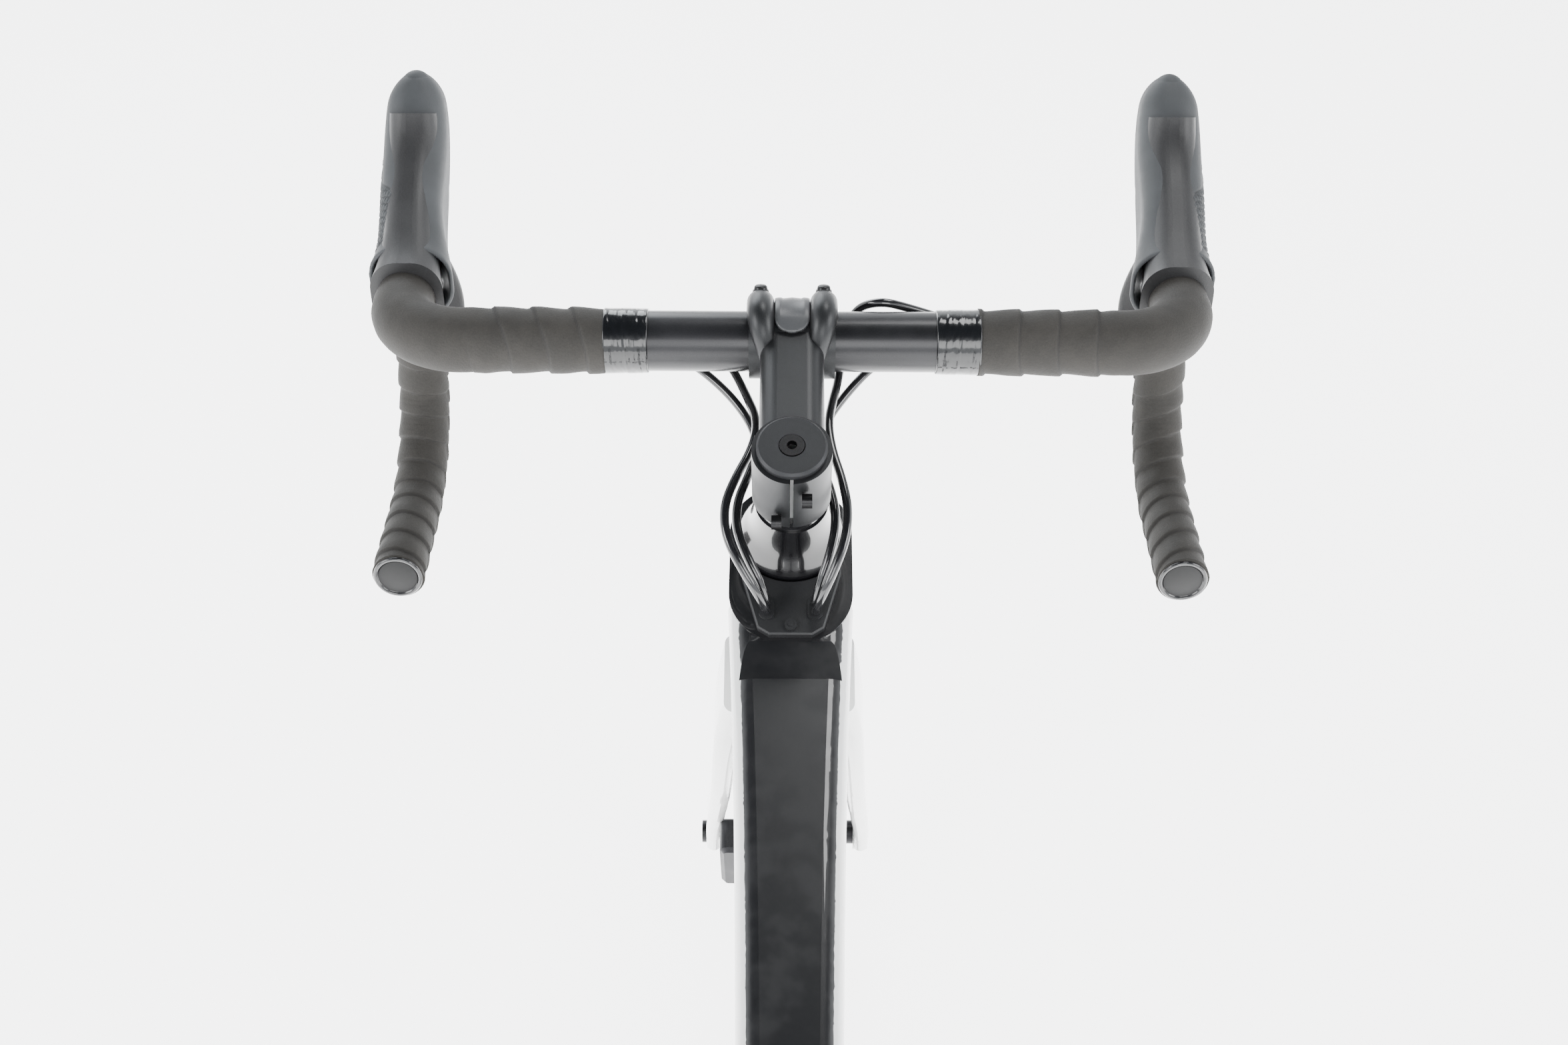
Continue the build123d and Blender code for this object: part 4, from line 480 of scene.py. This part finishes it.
def skin(rings, closed_ends=True):
    """A mesh from rings of points, each joined to the next."""
    made, around = bmesh.new(), len(rings[0])
    rows = [[made.verts.new(point) for point in ring] for ring in rings]
    for near, far in zip(rows, rows[1:]):
        for index in range(around):
            after = (index + 1) % around
            made.faces.new((near[index], near[after], far[after], far[index]))
    if closed_ends:
        made.faces.new(rows[0][::-1])
        made.faces.new(rows[-1])
    bmesh.ops.recalc_face_normals(made, faces=made.faces)
    mesh = bpy.data.meshes.new("skin")
    made.to_mesh(mesh)
    made.free()
    return mesh


def ease(value, low, high):
    """0 below low, 1 above high, smooth between."""
    share = min(1.0, max(0.0, (value - low) / (high - low)))
    return share * share * (3 - 2 * share)


tape_finish = Finish("cork_rubber_tape", (0.03, 0.027, 0.023), 0.75)
pores = tape_finish.add("ShaderNodeTexVoronoi", values={"Vector": tape_finish.place(), "Scale": 900.0})
mottle = tape_finish.grain(60.0, 5.0, 0.65)
# Painted shade: the tape's colour is darkened along the edge where each turn lies over the last,
# standing in for the shade in that step.
painted_overlap_shade = tape_finish.add("ShaderNodeAttribute", {"attribute_name": "painted_overlap_shade"}, out=2)
cork = tape_finish.mix(
    (mottle * 0.7 + tape_finish.grain(1400.0) * 0.3).step(0.35, 0.68), (0.015, 0.0135, 0.011),
    (0.026, 0.0235, 0.020))
tape_finish.set("Base Color", tape_finish.mix(painted_overlap_shade * 0.85, cork, (0.008, 0.007, 0.006)))
tape_finish.set("Roughness", 0.66 + 0.16 * mottle)
tape_finish.bump(pores * 0.6 + tape_finish.grain(1800.0) * 0.5, 0.55, 0.00025)

for side, side_name in ((-1, "left"), (1, "right")):
    middle = bent_bar(side)
    across = BAR_FORWARD.copy()
    rings, shades, wound = [], [], 0.0
    for index, (along, point) in enumerate(middle):
        ahead = middle[min(index + 1, len(middle) - 1)][1] - middle[max(index - 1, 0)][1]
        ahead.normalize()
        across = (across - ahead * across.dot(ahead)).normalized()
        upright = ahead.cross(across) * side
        if along < TAPE_START:
            continue
        pitch = TAPE_PITCH - TAPE_PITCH_LESS_ON_DROPS * ease(along, 0.20, 0.28)
        wound += TAPE_STEP / pitch
        ring = []
        for number in range(TAPE_AROUND):
            angle = math.tau * number / TAPE_AROUND
            wave = 0.05 * noise.noise(Vector((along * 60, math.cos(angle) * 1.4, side * 3.0)))
            turn = (wound + wave - side * angle / math.tau * 0.55 - 0.22 * math.cos(angle)) % 1.0
            lift = ease(turn, 0.0, 0.82) ** 0.8 * (1 - ease(turn, 0.935, 1.0))
            smooth_share = ease(along, 0.160, 0.172) * (1 - ease(along, 0.262, 0.275))
            lift += (0.55 - lift) * smooth_share
            # How much painted shade each point gets along the overlap edge. It fades out in the smooth
            # corner and is stored as a mesh attribute that darkens the colour.
            shade = max(ease(turn, 0.93, 0.985), 1 - ease(turn, 0.0, 0.035))
            shades.append(shade * (1 - smooth_share))
            radius = TAPE_RADIUS + TAPE_LAYER * lift
            lump = noise.noise(Vector((along * 140, math.cos(angle) * 2, math.sin(angle) * 2 + side)))
            radius += TAPE_LUMPS * lump
            hoses_under = math.exp(-(((angle + 0.45 + math.pi) % math.tau - math.pi) / 0.6) ** 2)
            radius += HOSE_RIDGE * hoses_under * (1 - ease(along, 0.17, 0.22))
            radius += TAPE_PADDING * (1 - ease(along, 0.20, 0.29))
            ring.append(point + (across * math.cos(angle) + upright * math.sin(angle)) * radius)
        rings.append(ring)
    inward = [p.lerp(middle[-1][1], 0.22) for p in rings[-1]]
    tape_mesh = skin(rings + [inward])
    shadow = tape_mesh.attributes.new("painted_overlap_shade", "FLOAT", "POINT")
    shadow.data.foreach_set("value", shades + [0.0] * TAPE_AROUND)
    tape = add_piece(f"bar_tape_{side_name}", tape_mesh, tape_finish)
    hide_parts("bar_tape")
    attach(tape, "steering")

# ---------------------------------------------------------------- finishing tape
# A few turns of stretchy gloss vinyl that hold the inner edge of the bar tape and
# bind the two hoses to the bar. It is drawn tight over them and creases.
HOSE_STARTS = {1: ((0.0186, 0.004), (0.013, -0.0138)), -1: ((0.0189, 0.0), (0.0105, -0.0158))}
VINYL_START, VINYL_END, VINYL_AROUND, VINYL_STEPS = 0.0753, 0.0985, 120, 48
VINYL_RADII, HOSE_BUMP_RADIUS = ((0.0166, 1.0), (0.0169, 0.9)), 0.0026
vinyl = grained("gloss_vinyl", (0.005, 0.0055, 0.0065), 0.18, coat=0.6, coat_roughness=0.08,
                fine=260.0, depth=0.00012, vary=0.1)


def drawn_over(circles, angle, steps=40):
    """How far a tight wrap over round things lies from the middle, at an angle."""
    best = 0.0
    for forward, up, radius in circles:
        for other_forward, other_up, other_radius in circles:
            for step in range(steps + 1):
                share = step / steps
                x = forward + (other_forward - forward) * share
                y = up + (other_up - up) * share
                size = radius + (other_radius - radius) * share
                along = x * math.cos(angle) + y * math.sin(angle)
                off = -x * math.sin(angle) + y * math.cos(angle)
                if abs(off) < size:
                    best = max(best, along + math.sqrt(size * size - off * off))
    return best


for side, side_name in ((-1, "left"), (1, "right")):
    rings, outlines = [], []
    for radius, share in VINYL_RADII:
        circles = [(0.0, 0.0, radius)]
        circles += [(f * share, u * share, HOSE_BUMP_RADIUS) for f, u in HOSE_STARTS[side]]
        outlines.append([drawn_over(circles, math.tau * n / VINYL_AROUND) for n in range(VINYL_AROUND)])
    for index in range(VINYL_STEPS + 1):
        share = index / VINYL_STEPS
        along = VINYL_START + (VINYL_END - VINYL_START) * share
        ring = []
        for number in range(VINYL_AROUND):
            angle = math.tau * number / VINYL_AROUND
            body = outlines[0][number] * (1 - share) + outlines[1][number] * share
            turn = (share * 1.55 + angle / math.tau * 0.5) % 1.0
            layer = 0.00022 * (1 - ease(turn, 0.0, 0.07)) + 0.00012 * ease(turn, 0.5, 0.55)
            crease = noise.noise(Vector((along * 300 + angle * 1.2, angle * 1.6, side * 2.0)))
            fine = noise.noise(Vector((along * 900, angle * 5 + along * 200, side * 5.0)))
            radius = body + 0.0003 + layer + 0.00018 * abs(crease) + 0.00007 * fine
            if index in (0, VINYL_STEPS):
                radius -= 0.00025
            place = BAR_CENTRE + Vector((side * along, 0, 0))
            ring.append(place + BAR_FORWARD * (radius * math.cos(angle))
                        - BAR_DOWN * (radius * math.sin(angle)))
        rings.append(ring)
    first, last = ([p.lerp(BAR_CENTRE + Vector((p.x, 0, 0)), 0.05) for p in edge]
                   for edge in (rings[0], rings[-1]))
    rings = [first] + rings + [last]
    wrap = add_piece(f"finishing_tape_{side_name}", skin(rings, closed_ends=False), vinyl)
    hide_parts("finishing_tape")
    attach(wrap, "steering")

# ---------------------------------------------------------------- lever hoods
# Moulded rubber covers stretched over the lever bodies. The upper skin is smooth,
# and the outer side has a panel of raised diamonds inside a thin groove.
HOOD_MIDDLE_X, HOOD_VOXEL = 0.2165, 0.0009
HOOD_TIP_TURN, HOOD_DOME, HOOD_DOME_SPLIT = math.radians(78), 0.016, math.radians(58)
HOOD_LEAN, HOOD_SHORT = 0.012, 0.016
HOOD_CORE = ((0.044, 0.0), (0.070, 0.006), (0.100, 0.018), (0.128, 0.038), (0.146, 0.062),
             (0.151, 0.078))
DIAMOND_SIZE, DIAMOND_SHRINK, DIAMOND_SMALLEST = 0.0052, 0.026, 0.002
DIAMOND_HEIGHT, PANEL_DEPTH, GROOVE_DEPTH, SKIN_RADIUS = 0.00058, 0.00016, 0.00035, 0.0235


def rounded_tip(place, tip, heading):
    """Turns the flat end of the horn into a dome."""
    away = place - tip
    below = -away.dot(heading)
    if below > HOOD_DOME or below < -0.001:
        return place
    flat = away + heading * below
    wide = 0.0122 + 0.0030 * max(0.0, below) / HOOD_DOME
    if below > 0.0004:
        turn = HOOD_DOME_SPLIT * (1 - below / HOOD_DOME)
        shrink = math.cos(turn)
    else:
        turn = math.pi / 2 - (math.pi / 2 - HOOD_DOME_SPLIT) * min(1.0, flat.length / wide)
        shrink = wide * math.cos(turn) / max(flat.length, 1e-5)
    return tip + flat * shrink - heading * (HOOD_DOME * (1 - math.sin(turn)) - 0.0026 * math.sin(turn))


hood_finish = Finish("hood_rubber", (0.047, 0.05, 0.053), 0.6)
sheen = hood_finish.grain(30.0, 4.0)
rubber = hood_finish.mix(sheen.step(0.35, 0.7), (0.034, 0.037, 0.040), (0.047, 0.051, 0.055))
# Painted shade: the rubber's colour is darkened in the border groove and between the raised diamonds,
# where shade falls in the recesses.
painted_groove_shade = hood_finish.add("ShaderNodeAttribute", {"attribute_name": "painted_groove_shade"}, out=2)
hood_finish.set("Base Color", hood_finish.mix(painted_groove_shade * 0.8, rubber, (0.006, 0.0065, 0.007)))
hood_finish.set("Roughness", 0.52 + 0.16 * hood_finish.grain(240.0))
hood_finish.bump(hood_finish.grain(2600.0), 0.35, 0.00008)


def spine(forward):
    """How far above the bar's middle the core of the lever body runs."""
    for (near, low), (far, high) in zip(HOOD_CORE, HOOD_CORE[1:]):
        if forward < far:
            return low + (high - low) * max(0.0, forward - near) / (far - near)
    return HOOD_CORE[-1][1]


for side, side_name in ((-1, "left"), (1, "right")):
    source = nodes[f"hood_{side_name}"]
    copy = bpy.data.objects.new("hood_copy", source.data.copy())
    bpy.context.collection.objects.link(copy)
    joined = bmesh.new()
    joined.from_mesh(copy.data)
    bmesh.ops.remove_doubles(joined, verts=joined.verts, dist=1e-6)
    joined.to_mesh(copy.data)
    joined.free()
    remesh = copy.modifiers.new("even_skin", "REMESH")
    remesh.mode, remesh.voxel_size, remesh.use_smooth_shade = "VOXEL", HOOD_VOXEL, True
    soften = copy.modifiers.new("soften", "SMOOTH")
    soften.factor, soften.iterations = 0.5, 18
    mesh = plain_mesh(copy, f"hood_{side_name}")
    discard(copy)
    outward_ways = [vertex.normal.copy() for vertex in mesh.vertices]
    painted_groove_shades = []
    heading = BAR_FORWARD * math.cos(HOOD_TIP_TURN) - BAR_DOWN * math.sin(HOOD_TIP_TURN)
    tip = bar_point(side * 0.2150, 0.151, -0.078)
    for vertex, way in zip(mesh.vertices, outward_ways):
        local = vertex.co - BAR_CENTRE
        forward, up = local.dot(BAR_FORWARD), -local.dot(BAR_DOWN)
        outward = side * vertex.co.x - HOOD_MIDDLE_X
        level = up - spine(forward)
        angle = math.degrees(math.atan2(outward, level))
        facing_out = way.dot(Vector((side * outward, 0, 0)) + Vector((0, 0, level)))
        if facing_out <= 0:
            painted_groove_shades.append(0.0)
            continue
        size = max(DIAMOND_SMALLEST, DIAMOND_SIZE - DIAMOND_SHRINK * max(0.0, forward - 0.05))
        along = -math.log(size) / DIAMOND_SHRINK
        around = math.radians(angle) * SKIN_RADIUS / size
        low = -14 + 76 * ease(forward, 0.06, 0.130)
        high = 150 - 55 * ease(forward, 0.07, 0.128)
        edge = min(angle - low, high - angle) / 6.0
        edge = min(edge, (0.127 - forward) / 0.0022, (forward - 0.054) / 0.0022)
        inside = ease(edge, 0.25, 0.6)
        border = ease(edge, -0.35, -0.05) * (1 - ease(edge, 0.05, 0.35))
        first = abs((along + around) % 1.0 - 0.5) * 2
        second = abs((along - around) % 1.0 - 0.5) * 2
        diamond = 1 - max(ease(first, 0.62, 0.95), ease(second, 0.62, 0.95))
        lift = inside * (DIAMOND_HEIGHT * diamond - PANEL_DEPTH) - GROOVE_DEPTH * border
        # Strength of the painted shade at this point: full in the border groove, and less between the
        # diamonds.
        painted_groove_shades.append(min(1.0, inside * (1 - diamond) * 0.8 + border))
        vertex.co += way * lift
    for vertex in mesh.vertices:
        vertex.co = rounded_tip(vertex.co, tip, heading)
        local = vertex.co - BAR_CENTRE
        forward, up = local.dot(BAR_FORWARD), -local.dot(BAR_DOWN)
        vertex.co += BAR_FORWARD * (HOOD_LEAN * ease(up, 0.02, 0.075)
                                    + HOOD_SHORT * (1 - ease(forward, 0.044, 0.115)))
    shadow = mesh.attributes.new("painted_groove_shade", "FLOAT", "POINT")
    shadow.data.foreach_set("value", painted_groove_shades)
    hood = add_piece(f"lever_hood_{side_name}", mesh, hood_finish)
    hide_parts(f"hood_{side_name}")
    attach(hood, "steering")

# ---------------------------------------------------------------- stem front
# The clamp's forged front plate with its two bolt lugs, which run over the bar from
# the stem's body, and a moulded grey cap that is pushed in between the lugs.
STEM_FORWARD = Vector((0, 0.9812927, 0.192522))
STEM_UP = Vector((0, -0.192522, 0.9812927))
CLAMP_RADIUS, CLAMP_HALF, CLAMP_BORE = 0.0196, 0.0225, 0.0163
PLATE_STEPS, PLATE_AROUND, PLATE_TURN = 30, 28, 84
LUG_STEPS, LUG_AROUND, LUG_ROUNDED_FROM = 40, 28, 0.86
INSERT_STEPS, INSERT_AROUND, INSERT_HALF, INSERT_THICK = 28, 44, 0.0093, 0.0016
INSERT_SLOT, INSERT_SLOT_DEPTH = 0.0052, 0.0005


def on_clamp(right, angle, reach):
    """A point over the bar: 0 degrees is in front, 90 on top, 180 behind."""
    turn = math.radians(angle)
    return (BAR_CENTRE + Vector((right, 0, 0)) + STEM_FORWARD * (reach * math.cos(turn))
            + STEM_UP * (reach * math.sin(turn)))


rings = []
for step in range(PLATE_STEPS + 1):
    share = step / PLATE_STEPS
    right = -CLAMP_HALF + 2 * CLAMP_HALF * share
    edge = 1 - abs(2 * share - 1)
    reach = CLAMP_RADIUS + 0.0012 * math.sqrt(min(1.0, edge / 0.12)) - 0.0008
    turns = [PLATE_TURN * (2 * n / PLATE_AROUND - 1) for n in range(PLATE_AROUND + 1)]
    outer = [on_clamp(right, turn, reach) for turn in turns]
    inner = [on_clamp(right, -turn, CLAMP_BORE) for turn in turns]
    rings.append(outer + inner)
plate = add_piece("stem_front_plate", skin(rings), stem_satin)
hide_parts("stem_faceplate")
lugs = []
for side in (-1, 1):
    rings = []
    for step in range(LUG_STEPS + 1):
        share = step / LUG_STEPS
        angle = 186 - 146 * share
        reach = CLAMP_RADIUS - 0.0035 + 0.0050 * ease(share, 0.1, 0.65)
        middle = on_clamp(side * (0.0135 + 0.0030 * ease(share, 0.1, 0.7)), angle, reach)
        out = (on_clamp(0, angle, 1.0) - BAR_CENTRE).normalized()
        tip_share = max(0.0, (share - LUG_ROUNDED_FROM) / (1 - LUG_ROUNDED_FROM))
        size = (0.0048 + 0.0024 * ease(share, 0.1, 0.7)) * math.sqrt(max(0.0004, 1 - tip_share ** 2))
        size *= ease(share, -0.25, 0.2)
        rings.append([middle + Vector((size * math.cos(t), 0, 0)) + out * (size * 0.92 * math.sin(t))
                      for t in (math.tau * n / LUG_AROUND for n in range(LUG_AROUND))])
    lug = add_piece(f"stem_lug_{'left' if side < 0 else 'right'}", skin(rings), stem_satin)
    lugs.append(lug)
for piece in [plate] + lugs:
    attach(piece, "steering")


def lathe(profile, origin, axis, around=40):
    """A turned mesh from (along, radius) pairs about an axis."""
    across = axis.orthogonal().normalized()
    other = axis.cross(across)
    return skin([[origin + axis * along + (across * math.cos(t) + other * math.sin(t)) * radius
                  for t in (math.tau * n / around for n in range(around))]
                 for along, radius in profile])


BOLT_PROFILE = ((-0.006, 0.0056), (0.0, 0.0055), (0.0008, 0.0052), (0.0022, 0.0050), (0.0026, 0.0044),
                (0.0042, 0.0042), (0.0047, 0.0036), (0.0061, 0.0034), (0.0066, 0.0030), (0.0069, 0.0022),
                (0.0070, 0.0004))
bolt_way = (STEM_UP * 0.9 + STEM_FORWARD * 0.45).normalized()
for side, side_name in ((-1, "left"), (1, "right")):
    boss = add_piece(f"stem_bolt_boss_{side_name}",
                     lathe(BOLT_PROFILE, on_clamp(side * 0.0165, 47, 0.0228), bolt_way), bolt_blacking)
    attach(boss, "steering")

insert_finish = grained("insert_grey", (0.06, 0.062, 0.065), 0.38, spread=0.1, fine=1800.0)
rings = []
for step in range(INSERT_STEPS + 1):
    share = step / INSERT_STEPS
    angle = 122 - 100 * share
    half = INSERT_HALF * math.sqrt(max(0.02, 1 - max(0.0, 1 - share / 0.26) ** 2.4))
    ring = []
    for number in range(INSERT_AROUND):
        turn = math.tau * number / INSERT_AROUND
        across = math.copysign(abs(math.cos(turn)) ** 0.35, math.cos(turn)) * half
        thick = INSERT_THICK * math.copysign(abs(math.sin(turn)) ** 0.5, math.sin(turn))
        in_slot = abs(abs(across) - INSERT_SLOT) < 0.0005 and thick > 0 and share > 0.2
        slot_line = INSERT_SLOT_DEPTH if in_slot else 0.0
        ring.append(on_clamp(across, angle, CLAMP_RADIUS + 0.0012 + 0.0010 * share + thick - slot_line))
    rings.append(ring)
insert = add_piece("stem_insert", skin(rings), insert_finish)
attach(insert, "steering")

# ---------------------------------------------------------------- end plugs
# Push-in plugs for the two open ends of the bar: each has a polished outer ring
# round a recessed matte disc.
RING_PROFILE = ((-0.012, 0.0100), (-0.0002, 0.0105), (0.0, 0.0126), (0.0006, 0.0134),
                (0.0014, 0.0134), (0.0021, 0.0128), (0.0021, 0.0117), (0.0015, 0.0112),
                (0.0011, 0.0110), (0.0011, 0.0004))
DISC_PROFILE = ((0.0006, 0.0109), (0.0012, 0.0108), (0.0014, 0.0105), (0.0014, 0.0004))
plug_gloss = grained("plug_gloss", (0.012, 0.012, 0.013), 0.15, coat=1.0, fine=900.0, depth=0.00001)
plug_matte = grained("plug_matte", (0.003, 0.003, 0.0032), 0.6, fine=1800.0)
for side, side_name in ((-1, "left"), (1, "right")):
    middle = bent_bar(side)
    end = middle[-1][1]
    way = (end - middle[-12][1]).normalized()
    plug = add_piece(f"end_plug_{side_name}", lathe(RING_PROFILE, end, way, 64), plug_gloss)
    disc = add_piece(f"plug_disc_{side_name}", lathe(DISC_PROFILE, end, way, 64), plug_matte)
    for piece in (plug, disc):
        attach(piece, "steering")
    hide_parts("bar_end_plugs")

# ---------------------------------------------------------------- saddle
# The pad keeps its plain solid shape, and only its finish is made here: a finely
# pebbled sheet leather-cloth.
saddle_finish = Finish("saddle_cloth", (0.03, 0.03, 0.032), 0.55)
leather = saddle_finish.add("ShaderNodeTexVoronoi", {"feature": "DISTANCE_TO_EDGE"},
                            {"Vector": saddle_finish.place(), "Scale": 620.0})
saddle_finish.set("Base Color", saddle_finish.mix(saddle_finish.grain(20.0).step(0.3, 0.7),
                                                  (0.024, 0.024, 0.026), (0.038, 0.038, 0.04)))
saddle_finish.set("Roughness", 0.48 + 0.18 * saddle_finish.grain(90.0))
saddle_finish.bump(leather.step(0.0, 0.12), 0.45, 0.00018)
wear(("saddle_cover",), saddle_finish)

# ---------------------------------------------------------------- floor
# A wide, pale, matte studio floor that the tyres stand on. It glows, so that it
# shows almost white from above.
floor_finish = Finish("studio_floor", (0.9, 0.9, 0.9), 0.9)
floor_finish.set("Emission Color", (1.0, 1.0, 1.0, 1))
floor_finish.set("Emission Strength", 4.2)
floor_finish.set("Base Color", floor_finish.mix(floor_finish.grain(1.5), (0.89, 0.89, 0.89),
                                                (0.93, 0.93, 0.93)))
FLOOR_HALF, FLOOR_GAP = 12.0, 0.0005
floor_mesh = bpy.data.meshes.new("floor")
floor_corners = [(x * FLOOR_HALF, y * FLOOR_HALF, cad_box[0].z - FLOOR_GAP)
                 for x, y in ((-1, -1), (1, -1), (1, 1), (-1, 1))]
floor_mesh.from_pydata(floor_corners, [], [(0, 1, 2, 3)])
add_piece("studio_floor", floor_mesh, floor_finish, smooth=False)
